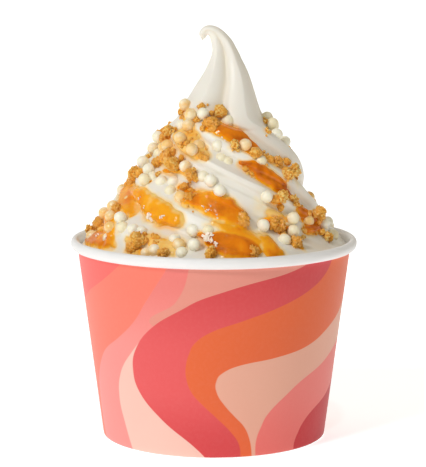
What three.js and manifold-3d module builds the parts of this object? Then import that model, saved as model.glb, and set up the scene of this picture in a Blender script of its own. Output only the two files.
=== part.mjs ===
// Frozen yogurt cup: a round paper cup with a rolled rim, filled and heaped with one swirl of soft
// frozen yogurt that carries caramel sauce, white chocolate pearls and biscuit crumbs.
// Millimetres, +Z up, origin at the centre of the cup's foot. Azimuths are in degrees, 0 at the
// front (-Y) and growing towards +X.
import * as THREE from 'three';
import { mergeVertices } from 'three/addons/utils/BufferGeometryUtils.js';
import Module from 'manifold-3d';

const wasm = await Module();
wasm.setup();

// Paper cup
const CUP_HEIGHT = 67;
const RIM_RADIUS = 48;
const BEAD_WIDTH = 2.7;
const BEAD_HEIGHT = 3.6;
const MOUTH_RADIUS = 45.7;
const FOOT_RADIUS = 37.5;
const PAPER = 0.6;
const FOOT_WALL = 1.2;
const BASE_RECESS = 4.4;
const CUP_SEGMENTS = 60;
const BEAD_STEPS = 8;
const BEAD_START = -110;

// Yogurt inside the cup
const WALL_GAP = 0.3;
const FILL_HEIGHT = 63;

// Heap above the rim: height, radius at the lips of the ribs, lean of the axis towards +X
const HEAP = [
  [65.6, 43.3, 0], [69, 40.8, -0.3], [74, 37.3, -0.6], [81, 32.9, 0.5], [87.5, 29.6, 1.7],
  [94.5, 25.6, 2.1], [99.5, 22.3, 1.9], [103, 19.8, 1.9], [107, 16.6, 2.1], [113, 13.7, 2.6],
  [119.5, 10.2, 3.8],
];
// Peak that curls over towards -X: centre x, centre height, radius
const PEAK = [
  [3.7, 126, 6.6], [3.2, 129.4, 5], [2.4, 131.7, 4.1], [1.1, 134, 3], [-0.3, 135.4, 2.15],
  [-2, 135.9, 1.65], [-3.4, 135.1, 1.45], [-3.8, 133.9, 1.2],
];
const PEAK_TIP = [-3.8, 132.5];
const TILT_START = 113;
const TILT_FULL = 126;
const TANGENT_REACH = 0.05;
const ROW_STEP = 3.6;
const PEAK_ROWS = 13;

// Ribs left by the star nozzle. Each has a lip, its outermost line, and a crease below the lip;
// depth is how deep that crease is against RIB_DEPTH and sink how far the lip lies behind the others.
const RIBS = [
  { lip: 0, crease: -30, depth: 1, sink: 0 },
  { lip: -64, crease: -82, depth: 0.85, sink: 0 },
  { lip: -98, crease: -110, depth: 0.55, sink: -0.1 },
  { lip: -118, crease: -141, depth: 0.95, sink: 0.22 },
  { lip: -165, crease: -190, depth: 1, sink: 0 },
  { lip: -210, crease: -245, depth: 1, sink: 0 },
  { lip: -270, crease: -293, depth: 0.85, sink: 0.05 },
  { lip: -308, crease: -322, depth: 0.9, sink: 0.05 },
];
// The fewer, softer ribs that run on up the peak
const PEAK_RIBS = [
  { lip: 0, crease: -30, depth: 1, sink: 0 },
  { lip: -64, crease: -125, depth: 0.7, sink: 0 },
  { lip: -165, crease: -190, depth: 1, sink: 0 },
  { lip: -210, crease: -245, depth: 1, sink: 0 },
  { lip: -270, crease: -293, depth: 0.8, sink: 0 },
];
const PEAK_RIBS_FROM = [102, 109];
const RIB_DEPTH = 4.6;
const RIB_DEPTH_REACH = 6.5;
const LEDGE_POWER = 0.95;
const PEAK_LEDGE_POWER = 1.15;
const FLANK_ROUNDNESS = 1;
const FLANK_FLATNESS = 0.35;
const PEAK_FLANK_ROUNDNESS = 0.45;
// Widest mesh column, in degrees, on the ledges above the lips and on the round flanks below them
const LEDGE_COLUMN = 20;
const FLANK_COLUMN = 14;
const RIM_FADE = [64, 70];
const RELIEF_AT_RIM = 0.12;
const TIP_FADE = [1.5, 5.5];

// Twist of the ribs: none in the peak, TOP_TWIST degrees from TWIST_TOP down to TWIST_FULL, then
// TWIST_RATE degrees for each millimetre down
const PEAK_AZIMUTH = 33;
const TWIST_TOP = 109;
const TWIST_FULL = 104;
const TOP_TWIST = 24.75;
const TWIST_RATE = 3.95;
// The ribs run flatter at the left than at the right
const LEVELLING = 17;
const LEVEL_AZIMUTH = 25;
// Slow swells of a hand-made serving: millimetres, waves round the heap, rise of a wave, offset
const SWELLS = [[0.22, 2, 7, 0], [0.16, 3, -4.3, 1], [0.1, 5, 3.1, 2]];
const SWELLS_START = [66, 74];
const SWELLS_END = [103, 112];

// Pearls on the front half: azimuth, height, depth below the surface
const PEARL_RADIUS = 2.05;
const PEARL_SINK = 0.9;
// The corners of a faceted ball stand out by this much, so that its faces lie at the round size
const PEARL_CORNERS = 1.1;
const PEARLS = [
  [-23, 109, 0.9], [-36, 108.5, 1], [-56, 111.5, 1.2], [10, 107, 2.2], [21, 99, 0.8], [86, 105, 0.9],
  [74, 101.5, 1.6], [-73, 100.5, 0.8], [-83, 96, 0.8], [-73, 95.5, 1.7], [-74, 92, 0.8],
  [-61, 90.5, 1.3], [-55, 87.5, 0.9], [-54, 89, 1.8], [-44, 88, 1.7], [-35, 88, 1.6], [-33, 85.5, 1.9],
  [-23, 83.5, 1.5], [-12, 90.5, 2.2], [-6, 89, 1.5], [1, 86, 0.8], [30, 84.5, 0.8], [28, 74, 0.8],
  [47, 76, 1.1], [46, 72.5, 0.8], [-10, 74, 1.5], [-9, 69, 0.8], [-76, 75.5, 0.8], [-69, 78, 0.9],
  [-54, 75.5, 1], [-50, 73.5, 1.9], [-41, 73, 0.9], [-37, 73, 1.8], [-60, 72.5, 1.5], [-31, 67, 2],
  [-19, 71.5, 2.3], [-14, 68, 2], [-85, 82.5, 1.7], [-3, 99.5, 2.9], [1, 96, 2.8], [6, 95, 2.8],
  [61, 75, 1.2], [72, 73, 1.6], [79, 68, 1.6], [37, 70, 1.8], [-67, 80.5, 2.2], [32, 95, 2.5],
  [-2, 74, 2.6], [-34, 105.5, 1.2], [-36, 101, 1.1], [-22, 98, 1.1], [-19, 99.5, 1.5],
  [-51, 98.5, 1.4], [-26, 93, 1.6], [-50, 105, 1.7], [-65, 75.5, 1.5], [-61, 69, 1.4],
  [-80, 67.5, 1.4], [-27, 68, 1.7], [-16, 69.5, 1.5],
];
// Crumbs on the front half: azimuth, height, radius
const CRUMB_RADIUS = [1.5, 2.6];
const CRUMB_SINK = 0.9;
const CRUMB_CORNERS = [0.82, 1.18];
const CRUMBS = [
  [-4, 109.5, 2.2], [-11, 105.5, 2.3], [-8, 104.5, 1.5], [-54, 103, 1.7], [-61, 100.5, 1.8],
  [-51, 95.5, 1.5], [-43, 96.5, 1.7], [-60, 92.5, 1.7], [-35, 93.5, 2.5], [-20, 90.5, 2],
  [-75, 89, 1.9], [-66, 89.5, 1.5], [-83, 84, 2], [-24, 86, 1.6], [-17, 82.5, 1.9], [12, 99.5, 1.7],
  [-66, 78, 1.7], [-98, 70, 1.6], [-93, 68, 1.6], [-35, 70.5, 2.5], [-38, 68, 1.9], [-22, 67, 2],
  [-1, 67, 1.8], [18, 67.5, 1.8], [16, 76, 2.3], [35, 75.5, 1.8], [39, 74, 1.8], [39, 83.5, 2],
  [36, 83, 1.5], [51, 81.5, 1.7], [68, 75.5, 2.3], [60, 77, 1.8], [54, 72, 1.7], [60, 71.5, 1.5],
  [42, 68.5, 1.9], [68, 68.5, 1.7], [27, 96.5, 1.9], [41, 94.5, 1.5], [48, 93.5, 1.7], [68, 93.5, 1.5],
  [64, 89.5, 2.3], [49, 89.5, 2],
];
// The rest of the heap carries the same toppings along the ledges above its lips
const LEDGE_AZIMUTHS = [88, 272];
const LEDGE_SPACING = 4.6;
const SPACING_SHARES = [0.75, 1.25];
const LEDGE_HEIGHTS = [68, 107];
const LEDGE_SPREAD = 2.4;
const LEDGE_START_SPREAD = 10;
const HEAP_SPAN = [66, 118];
const LEAST_REACH = 12;
const PEARL_SHARE = 0.5;
const CRUMB_SHARE = 0.92;
const RIM_CLEARANCE = 0.5;
const SEED = 20241;
const CRUMB_SEED = 733;

// Strokes of sauce: thickness, then azimuth, height and half width along the stroke
const SAUCE_THICKNESS = 0.9;
const SAUCE_STROKES = [
  [1.1, [-9, 105, 1], [2, 104, 2], [13, 102.5, 2.7], [26, 101, 2.7], [33, 98, 2], [36, 96.5, 1]],
  [1.2, [17, 93.5, 0.8], [23, 93, 2], [30, 91, 2.7], [38, 88, 2.7], [45, 85.5, 2.3], [50, 83.5, 1.3]],
  [1.2, [-23, 84, 1.3], [-18, 84, 2.3], [-11, 83, 2.7], [-2, 82, 3.7], [6, 80.5, 4.4], [12, 78, 3.4],
    [15, 77, 1.7]],
  [0.6, [10, 76, 1], [16, 74, 1.3], [20, 72, 1.7]],
  [1, [-86, 85.5, 2], [-76, 84, 3.4], [-56, 82.5, 4.7], [-42, 81, 5], [-32, 79, 5], [-24, 78, 4],
    [-19, 77, 2.7]],
  [0.9, [-78, 82.5, 1.7], [-61, 79.5, 2], [-54, 78, 1]],
  [1, [-72, 90, 1.3], [-80, 87, 1.7], [-86, 84, 1.7]],
  [1.2, [-6, 72.5, 1.3], [-1, 71, 2.7], [4, 70, 4.4], [10, 69.5, 4.4], [15, 69, 3.7], [18, 68.5, 2.3]],
  [0.8, [24, 71, 2], [26, 69, 3], [28, 68, 2.7], [31, 67, 1.3]],
  [0.9, [-87, 66, 1], [-80, 67, 3], [-70, 68, 3], [-58, 67, 2.3], [-50, 67, 1]],
  [0.8, [54, 79, 1], [60, 76.5, 2.7], [64, 73, 2.7], [55, 73, 1.7]],
  [0.7, [30, 76, 1], [34, 76, 2.3], [40, 74, 2.3], [45, 73, 1]],
  [0.45, [-50, 108, 2], [-40, 104, 3], [-28, 100.5, 3.4], [-18, 98, 2.3], [-14, 96.5, 1.3]],
  [0.9, [-82, 103, 1.3], [-66, 102, 2.3], [-57, 101, 1.7]],
  [0.7, [34, 83, 1.3], [39, 81.5, 1.7]],
];
// Sauce on the ledges at the back: rib, first and last azimuth, half width, thickness
const BACK_SAUCE = [
  [0, 96, 124, 2.4, 1.1], [0, 150, 184, 3.2, 1.1], [1, 92, 122, 2.8, 1], [7, 122, 150, 2.4, 1],
  [7, 178, 216, 3.2, 1.1], [6, 150, 172, 1.8, 0.9], [6, 196, 232, 3, 1.1], [5, 206, 232, 2, 1],
  [5, 246, 270, 2.6, 1.1], [6, 248, 276, 2.4, 0.9], [4, 240, 262, 1.8, 1],
];
const BACK_TAPER = [0.4, 1, 1, 0.35];
const BACK_LEDGE_SHARE = 0.55;
const BACK_HEIGHTS = [66.5, 107];
// Section across a stroke: share of the half width and share of the thickness
const STROKE_SECTION = [[-0.95, -0.3], [-0.4, 1], [0.4, 1], [0.95, -0.3]];
const STROKE_END = 0.8;
const STROKE_BED = 6;
const STROKE_LOWEST = 65.8;
const HEAP_SLANT = 0.85;

const radians = THREE.MathUtils.degToRad;
const { clamp, smoothstep, radToDeg, euclideanModulo } = THREE.MathUtils;

function seededDraw(seed) {
  let state = seed;
  return () => {
    state = (state * 16807) % 2147483647;
    return state / 2147483647;
  };
}

function wallRadius(height) {
  return FOOT_RADIUS + (MOUTH_RADIUS - FOOT_RADIUS) * height / (CUP_HEIGHT - BEAD_HEIGHT);
}

function innerRadius(height) {
  return wallRadius(height) - PAPER;
}

// Side wall, rolled bead, inner wall and recessed base as one closed profile
function cupProfile() {
  const beadCentre = [RIM_RADIUS - BEAD_WIDTH / 2, CUP_HEIGHT - BEAD_HEIGHT / 2];
  const points = [
    [0, BASE_RECESS],
    [wallRadius(BASE_RECESS) - FOOT_WALL, BASE_RECESS],
    [FOOT_RADIUS - FOOT_WALL, 0],
    [FOOT_RADIUS, 0],
    [MOUTH_RADIUS, CUP_HEIGHT - BEAD_HEIGHT],
  ];
  for (let step = 0; step <= BEAD_STEPS; step += 1) {
    const angle = radians(BEAD_START + (180 - BEAD_START) * step / BEAD_STEPS);
    points.push([
      beadCentre[0] + Math.cos(angle) * BEAD_WIDTH / 2,
      beadCentre[1] + Math.sin(angle) * BEAD_HEIGHT / 2,
    ]);
  }
  points.push([innerRadius(BASE_RECESS + PAPER), BASE_RECESS + PAPER]);
  points.push([0, BASE_RECESS + PAPER]);
  return points.map(([radius, height]) => new THREE.Vector2(radius, height));
}

function makeCup() {
  const geometry = new THREE.LatheGeometry(cupProfile(), CUP_SEGMENTS);
  geometry.rotateX(Math.PI / 2);
  return geometry;
}

// Smooth value of one column of a table whose first column is the height
function alongTable(table, height, column) {
  const last = table.length - 1;
  let index = 0;
  while (index < last - 1 && height > table[index + 1][0]) index += 1;
  const slope = (at) => {
    const before = table[Math.max(at - 1, 0)];
    const after = table[Math.min(at + 1, last)];
    return (after[column] - before[column]) / (after[0] - before[0]);
  };
  const [low, high] = [table[index], table[index + 1]];
  const span = high[0] - low[0];
  const t = (height - low[0]) / span;
  const rise = t * t * (3 - 2 * t);
  return low[column] + (high[column] - low[column]) * rise
    + span * (slope(index) * t * (1 - t) ** 2 - slope(index + 1) * t * t * (1 - t));
}

function twist(height) {
  const eased = clamp((TWIST_TOP - height) / (TWIST_TOP - TWIST_FULL), 0, 1);
  const steady = Math.max(TWIST_FULL - height, 0);
  return PEAK_AZIMUTH + TOP_TWIST * eased ** 2 + TWIST_RATE * steady;
}

function levelling(azimuth, height) {
  const share = 1 - smoothstep(height, TWIST_FULL, TWIST_TOP);
  return LEVELLING * share * (1 - Math.cos(radians(azimuth - LEVEL_AZIMUTH)));
}

function ribPhase(azimuth, height) {
  return azimuth - twist(height) + levelling(azimuth, height);
}

function ribAzimuth(phase, height) {
  let azimuth = phase + twist(height);
  for (let pass = 0; pass < 6; pass += 1) {
    azimuth = phase + twist(height) - levelling(azimuth, height);
  }
  return azimuth;
}

// Height at which a phase of the ribs passes an azimuth, between the rim and the peak
function ribHeight(phase, azimuth) {
  let height = (CUP_HEIGHT + TWIST_FULL) / 2;
  for (let pass = 0; pass < 4; pass += 1) {
    const wound = azimuth - phase + levelling(azimuth, height) - PEAK_AZIMUTH;
    const turned = euclideanModulo(wound + 90, 360) - 90;
    const eased = Math.sqrt(Math.max(turned / TOP_TWIST, 0));
    height = eased < 1
      ? TWIST_TOP - (TWIST_TOP - TWIST_FULL) * eased
      : TWIST_FULL - (turned - TOP_TWIST) / TWIST_RATE;
  }
  return height;
}

function creaseAbove(ribs, index) {
  const { crease, depth } = ribs[(index + ribs.length - 1) % ribs.length];
  return { crease: crease + (index === 0 ? 360 : 0), depth };
}

// How far a ribbed surface lies behind its lips at a phase, as a share of the rib depth
function ribbed(phase, ribs, ledgePower, roundness) {
  const top = creaseAbove(ribs, 0).crease;
  const turned = top - euclideanModulo(top - phase, 360);
  const index = ribs.findIndex((rib) => turned >= rib.crease - 1e-9);
  const rib = ribs[index];
  const above = creaseAbove(ribs, index);
  if (turned > rib.lip) {
    const ledge = (turned - rib.lip) / (above.crease - rib.lip);
    return rib.sink + (above.depth - rib.sink) * ledge ** ledgePower;
  }
  const flank = Math.min((rib.lip - turned) / (rib.lip - rib.crease), 1);
  const arc = 1 - Math.sqrt(1 - flank ** 2);
  const round = FLANK_FLATNESS * flank ** 2 + (1 - FLANK_FLATNESS) * arc;
  return rib.sink + (rib.depth - rib.sink) * (flank + (round - flank) * roundness);
}

function ribDrop(phase, height) {
  const heap = ribbed(phase, RIBS, LEDGE_POWER, FLANK_ROUNDNESS);
  const peak = ribbed(phase, PEAK_RIBS, PEAK_LEDGE_POWER, PEAK_FLANK_ROUNDNESS);
  return heap + (peak - heap) * smoothstep(height, ...PEAK_RIBS_FROM);
}

function reliefDepth(radius, height) {
  const atRim = RELIEF_AT_RIM + (1 - RELIEF_AT_RIM) * smoothstep(height, ...RIM_FADE);
  const atTip = smoothstep(radius, ...TIP_FADE);
  return RIB_DEPTH * (1 - Math.exp(-radius / RIB_DEPTH_REACH)) * atRim * atTip;
}

function swell(azimuth, height) {
  const fade = smoothstep(height, ...SWELLS_START) * (1 - smoothstep(height, ...SWELLS_END));
  const waves = SWELLS.map(([size, count, rise, offset]) => (
    size * Math.sin(count * radians(azimuth) + height / rise + offset)
  ));
  return fade * waves.reduce((sum, wave) => sum + wave);
}

function surfacePoint(azimuth, height) {
  const lips = alongTable(HEAP, height, 1);
  const relief = reliefDepth(lips, height) * ribDrop(ribPhase(azimuth, height), height);
  const radius = lips - relief + swell(azimuth, height);
  const angle = radians(azimuth);
  const lean = alongTable(HEAP, height, 2);
  return new THREE.Vector3(lean + radius * Math.sin(angle), -radius * Math.cos(angle), height);
}

function surfaceNormal(azimuth, height) {
  const round = surfacePoint(azimuth + 2, height).sub(surfacePoint(azimuth - 2, height));
  const up = surfacePoint(azimuth, height + 0.8).sub(surfacePoint(azimuth, height - 0.8));
  return round.cross(up).normalize();
}

// Point over the surface, or under it where lift is negative
function raisedPoint(azimuth, height, lift) {
  return surfacePoint(azimuth, height).addScaledVector(surfaceNormal(azimuth, height), lift);
}

// Phases of the mesh columns, from the crease above each rib over its lip to the crease below
function columnPhases() {
  const phases = [];
  const addColumns = (from, to, steps) => {
    for (let step = 0; step < steps; step += 1) phases.push(from + (to - from) * step / steps);
  };
  RIBS.forEach(({ lip, crease }, index) => {
    const above = creaseAbove(RIBS, index).crease;
    addColumns(above, lip, Math.ceil((above - lip) / LEDGE_COLUMN));
    addColumns(lip, crease, Math.max(Math.ceil((lip - crease) / FLANK_COLUMN), 2));
  });
  return phases.reverse();
}

// Level sections of the heap and tilted ones of the peak: centre, radius and direction of the axis
function heapRows() {
  const rows = [];
  const first = HEAP[0][0];
  const steps = Math.round((TILT_START - first) / ROW_STEP);
  for (let step = 0; step < steps; step += 1) {
    const height = first + (TILT_START - first) * step / steps;
    const centre = new THREE.Vector3(alongTable(HEAP, height, 2), 0, height);
    rows.push({ centre, radius: alongTable(HEAP, height, 1), axis: new THREE.Vector3(0, 0, 1) });
  }
  const low = HEAP.filter((row) => row[0] >= TILT_START).map(([z, radius, x]) => [x, z, radius]);
  let length = 0;
  const spine = [...low, ...PEAK].map((point, index, all) => {
    const before = all[Math.max(index - 1, 0)];
    length += Math.hypot(point[0] - before[0], point[1] - before[1]);
    return [length, ...point];
  });
  const spinePoint = (at) => new THREE.Vector3(alongTable(spine, at, 1), 0, alongTable(spine, at, 2));
  for (let row = 0; row < PEAK_ROWS; row += 1) {
    const at = length * row / (PEAK_ROWS - 1);
    const centre = spinePoint(at);
    const behind = spinePoint(Math.max(at - TANGENT_REACH, 0));
    const tangent = spinePoint(Math.min(at + TANGENT_REACH, length)).sub(behind).normalize();
    const share = tangent.z > 0.2 ? smoothstep(centre.z, TILT_START, TILT_FULL) : 1;
    const axis = new THREE.Vector3(0, 0, 1).lerp(tangent, share).normalize();
    rows.push({ centre, radius: alongTable(spine, at, 3), axis });
  }
  return rows;
}

function sectionPoint(row, phase) {
  const height = row.centre.z;
  const azimuth = ribAzimuth(phase, height);
  const relief = reliefDepth(row.radius, height) * ribDrop(phase, height);
  const radius = row.radius - relief + swell(azimuth, height);
  const angle = radians(azimuth);
  const across = new THREE.Vector3(row.axis.z, 0, -row.axis.x);
  return row.centre.clone()
    .addScaledVector(across, radius * Math.sin(angle))
    .add(new THREE.Vector3(0, -radius * Math.cos(angle), 0));
}

function toSolid(positions, triangles) {
  const mesh = new wasm.Mesh({
    numProp: 3,
    vertProperties: new Float32Array(positions),
    triVerts: new Uint32Array(triangles),
  });
  return new wasm.Manifold(mesh);
}

// The same geometry with shared corners merged and nothing but positions left
function bareGeometry(geometry) {
  geometry.deleteAttribute('normal');
  geometry.deleteAttribute('uv');
  return mergeVertices(geometry, 1e-4);
}

// Closed solid from equal rings of points, between a first and a last point
function loftSolid(rings, first, last) {
  const count = rings[0].length;
  const positions = [...rings.flat(), first, last].flatMap((point) => point.toArray());
  const firstIndex = rings.length * count;
  const lastRing = firstIndex - count;
  const triangles = [];
  for (let side = 0; side < count; side += 1) {
    const next = (side + 1) % count;
    triangles.push(firstIndex, next, side);
    triangles.push(firstIndex + 1, lastRing + side, lastRing + next);
    for (let here = 0; here < lastRing; here += count) {
      const over = here + count;
      triangles.push(here + side, here + next, over + next);
      triangles.push(here + side, over + next, over + side);
    }
  }
  return toSolid(positions, triangles);
}

// The fill of the cup and the ribbed heap as one closed solid, from the base to the tip
function makeSwirl() {
  const phases = columnPhases();
  const bottom = BASE_RECESS + PAPER + WALL_GAP;
  const fill = [bottom, FILL_HEIGHT].map((height) => phases.map((phase) => {
    const angle = radians(ribAzimuth(phase, HEAP[0][0]));
    const radius = innerRadius(height) - WALL_GAP;
    return new THREE.Vector3(radius * Math.sin(angle), -radius * Math.cos(angle), height);
  }));
  const heap = heapRows().map((row) => phases.map((phase) => sectionPoint(row, phase)));
  const tip = new THREE.Vector3(PEAK_TIP[0], 0, PEAK_TIP[1]);
  return loftSolid([...fill, ...heap], new THREE.Vector3(0, 0, bottom), tip);
}

// A topping stays clear of the rim's bead and of the cup's inner wall
function clearOfRim(centre, radius) {
  const reach = Math.hypot(centre.x, centre.y);
  const beadRadius = RIM_RADIUS - BEAD_WIDTH / 2;
  const beadHeight = CUP_HEIGHT - BEAD_HEIGHT / 2;
  const gap = Math.hypot(reach - beadRadius, centre.z - beadHeight) - BEAD_HEIGHT / 2 - radius;
  const inside = innerRadius(centre.z) - reach - radius;
  return gap > RIM_CLEARANCE && (centre.z > CUP_HEIGHT + radius || inside > RIM_CLEARANCE);
}

function makePearl([azimuth, height, sink]) {
  const centre = raisedPoint(azimuth, height, PEARL_RADIUS - sink);
  if (!clearOfRim(centre, PEARL_RADIUS)) return null;
  const ball = bareGeometry(new THREE.IcosahedronGeometry(PEARL_RADIUS * PEARL_CORNERS, 0));
  ball.rotateX(radians(azimuth));
  ball.translate(centre.x, centre.y, centre.z);
  return toSolid(ball.attributes.position.array, ball.index.array);
}

function makeCrumb([azimuth, height, radius], draw) {
  const turn = new THREE.Euler(draw() * 6, draw() * 6, draw() * 6);
  const centre = raisedPoint(azimuth, height, radius - CRUMB_SINK);
  const lump = bareGeometry(new THREE.IcosahedronGeometry(radius, 0));
  const corners = lump.attributes.position;
  const corner = new THREE.Vector3();
  const [low, high] = CRUMB_CORNERS;
  for (let index = 0; index < corners.count; index += 1) {
    corner.fromBufferAttribute(corners, index).multiplyScalar(low + (high - low) * draw());
    corner.applyEuler(turn).add(centre);
    corners.setXYZ(index, corner.x, corner.y, corner.z);
  }
  return clearOfRim(centre, radius) ? toSolid(corners.array, lump.index.array) : null;
}

// A low pillow of sauce draped over the ribs along a line of [azimuth, height, half width]
function makeStroke(thickness, line) {
  const reach = (height) => alongTable(HEAP, height, 1);
  const headings = line.map((_, index) => {
    const from = line[Math.max(index - 1, 0)];
    const to = line[Math.min(index + 1, line.length - 1)];
    const east = radians(to[0] - from[0]) * reach((from[1] + to[1]) / 2);
    return new THREE.Vector2(east, (to[1] - from[1]) / HEAP_SLANT).normalize();
  });
  const place = (index, ahead, aside, lift) => {
    const [azimuth, height] = line[index];
    const { x, y } = headings[index];
    const turn = radToDeg((ahead * x + aside * y) / reach(height));
    const climb = (ahead * y - aside * x) * HEAP_SLANT;
    return raisedPoint(azimuth + turn, Math.max(height + climb, STROKE_LOWEST), lift);
  };
  const tall = thickness * SAUCE_THICKNESS;
  const rings = line.map(([, , half], index) => [
    ...STROKE_SECTION.map(([across, rise]) => place(index, 0, across * half, rise * tall)),
    place(index, 0, 0, -STROKE_BED),
  ]);
  const last = line.length - 1;
  const edge = STROKE_SECTION[0][1] * tall;
  const start = place(0, -STROKE_END * line[0][2], 0, edge);
  const end = place(last, STROKE_END * line[last][2], 0, edge);
  return loftSolid(rings, start, end);
}

function makeBackStroke([index, first, last, half, thickness]) {
  const { lip } = RIBS[index];
  const phase = lip + BACK_LEDGE_SHARE * (creaseAbove(RIBS, index).crease - lip);
  return makeStroke(thickness, BACK_TAPER.map((taper, step) => {
    const azimuth = first + (last - first) * step / (BACK_TAPER.length - 1);
    return [azimuth, clamp(ribHeight(phase, azimuth), ...BACK_HEIGHTS), half * taper];
  }));
}

// Pearls and crumbs strewn along the ledges of the sides and the back
function ledgeToppings() {
  const draw = seededDraw(SEED);
  const [small, large] = CRUMB_RADIUS;
  const [closest, widest] = SPACING_SHARES;
  const pearls = [];
  const crumbs = [];
  RIBS.forEach((rib, index) => {
    const middle = (rib.lip + creaseAbove(RIBS, index).crease) / 2;
    let azimuth = LEDGE_AZIMUTHS[0] + draw() * LEDGE_START_SPREAD;
    while (azimuth < LEDGE_AZIMUTHS[1]) {
      const height = ribHeight(middle, azimuth) + (draw() - 0.5) * LEDGE_SPREAD;
      const kind = draw();
      const size = draw();
      if (height > LEDGE_HEIGHTS[0] && height < LEDGE_HEIGHTS[1]) {
        if (kind < PEARL_SHARE) pearls.push([azimuth, height, PEARL_SINK + size ** 2]);
        else if (kind < CRUMB_SHARE) {
          crumbs.push([azimuth, height, small + (large - small) * size ** 1.5]);
        }
      }
      const reach = Math.max(alongTable(HEAP, clamp(height, ...HEAP_SPAN), 1), LEAST_REACH);
      azimuth += radToDeg(LEDGE_SPACING * (closest + (widest - closest) * draw()) / reach);
    }
  });
  return { pearls, crumbs };
}

function makeFrozenYogurt() {
  const shape = seededDraw(CRUMB_SEED);
  const { pearls, crumbs } = ledgeToppings();
  const pieces = [
    ...SAUCE_STROKES.map(([thickness, ...line]) => makeStroke(thickness, line)),
    ...BACK_SAUCE.map(makeBackStroke),
    ...[...PEARLS, ...pearls].map(makePearl),
    ...[...CRUMBS, ...crumbs].map((crumb) => makeCrumb(crumb, shape)),
  ];
  let whole = makeSwirl();
  pieces.filter((piece) => piece !== null).forEach((piece) => {
    whole = whole.add(piece);
  });
  // Sealed hollows and loose scraps are left out: only the largest closed surface is kept
  const bodies = whole.decompose().sort((one, other) => other.volume() - one.volume());
  const mesh = bodies[0].getMesh();
  const geometry = new THREE.BufferGeometry();
  geometry.setAttribute('position', new THREE.BufferAttribute(mesh.vertProperties, 3));
  geometry.setIndex(new THREE.BufferAttribute(mesh.triVerts, 1));
  geometry.computeVertexNormals();
  return geometry;
}

function namedMesh(name, geometry, color, roughness) {
  const material = new THREE.MeshStandardMaterial({ color, roughness, metalness: 0 });
  const mesh = new THREE.Mesh(geometry, material);
  mesh.name = name;
  return mesh;
}

const frozenYogurtCup = new THREE.Group();
frozenYogurtCup.add(namedMesh('cup', makeCup(), 0xe8837c, 0.55));
frozenYogurtCup.add(namedMesh('frozen_yogurt', makeFrozenYogurt(), 0xf6f1e6, 0.5));

export default frozenYogurtCup;
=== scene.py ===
"""Frozen yogurt cup: a printed paper cup heaped with a ribbed swirl of frozen yogurt,
caramel sauce, white chocolate pearls, biscuit crumbs and a few salt flakes.

Lengths inside the functions are millimetres, and meshes are written in metres. Azimuths are in
degrees, 0 at the front (-Y) and growing towards +X.
"""

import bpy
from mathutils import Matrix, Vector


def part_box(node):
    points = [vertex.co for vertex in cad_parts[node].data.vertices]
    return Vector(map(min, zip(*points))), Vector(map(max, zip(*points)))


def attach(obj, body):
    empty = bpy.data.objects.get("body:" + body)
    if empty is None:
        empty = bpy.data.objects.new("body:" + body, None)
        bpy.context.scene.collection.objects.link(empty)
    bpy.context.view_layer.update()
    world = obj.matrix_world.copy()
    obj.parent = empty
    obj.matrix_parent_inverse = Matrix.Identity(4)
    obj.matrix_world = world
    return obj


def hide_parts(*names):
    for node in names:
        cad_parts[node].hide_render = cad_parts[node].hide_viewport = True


bl_info = {
    "name": "Frozen yogurt cup",
    "version": (1, 0, 0),
    "blender": (4, 5, 0),
    "location": "View3D > Sidebar > Frozen yogurt",
    "description": "Builds a paper cup heaped with frozen yogurt, sauce, pearls and crumbs",
    "category": "Add Mesh",
}

import math

import bpy
import numpy as np
from bpy.props import FloatProperty, FloatVectorProperty, IntProperty, PointerProperty
from mathutils import Color

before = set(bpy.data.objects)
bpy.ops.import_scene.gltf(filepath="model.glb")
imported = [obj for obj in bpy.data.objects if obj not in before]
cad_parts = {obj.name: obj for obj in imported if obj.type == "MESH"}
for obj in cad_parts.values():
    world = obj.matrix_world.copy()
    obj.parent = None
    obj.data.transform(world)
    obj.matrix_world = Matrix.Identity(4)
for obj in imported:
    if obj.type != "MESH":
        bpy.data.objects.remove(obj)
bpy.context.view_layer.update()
CUP_LOW, CUP_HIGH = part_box("cup")
HEAP_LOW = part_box("frozen_yogurt")[0]

MM = 0.001

# ---------------------------------------------------------------- shape of the heap

# The cup with its rolled rim, the bead, and the fill inside it
BEAD_WIDTH = 2.7
BEAD_HEIGHT = 3.6
MOUTH_INSET = 2.3
FOOT_INSET = 10.5
PAPER = 0.6
CUP_HEIGHT = CUP_HIGH.z / MM
WALL_TOP = CUP_HEIGHT - BEAD_HEIGHT
RIM_RADIUS = (CUP_HIGH.x - CUP_LOW.x) / 2 / MM
MOUTH_RADIUS = RIM_RADIUS - MOUTH_INSET
FOOT_RADIUS = RIM_RADIUS - FOOT_INSET
BEAD_CENTRE = (RIM_RADIUS - BEAD_WIDTH / 2, CUP_HEIGHT - BEAD_HEIGHT / 2)
FILL_LOW = HEAP_LOW.z / MM
FILL_HEIGHT = 63.6

# Height, radius at the lips of the ribs, lean of the axis towards +X
HEAP = np.array([
    (65.6, 43.3, 0), (69, 40.8, -0.3), (74, 37.3, -0.6), (81, 32.9, 0.5), (87.5, 29.6, 1.7),
    (94.5, 25.6, 2.1), (99.5, 22.3, 1.9), (103, 19.8, 1.9), (107, 16.6, 2.1), (113, 13.7, 2.6),
    (119.5, 10.2, 3.8),
])
# The peak that curls over towards -X: centre x, centre height, radius
PEAK = np.array([
    (3.7, 126, 6.6), (3.2, 129.4, 5), (2.4, 131.7, 4.1), (1.1, 134, 3), (-0.3, 135.4, 2.15),
    (-2, 135.9, 1.65), (-3.4, 135.1, 1.45), (-3.8, 133.9, 1.2),
])
PEAK_TIP = (-3.8, 132.5)
# Heights over which the rings tilt until they stand across the peak
TILT_START = 113
TILT_FULL = 126

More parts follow.
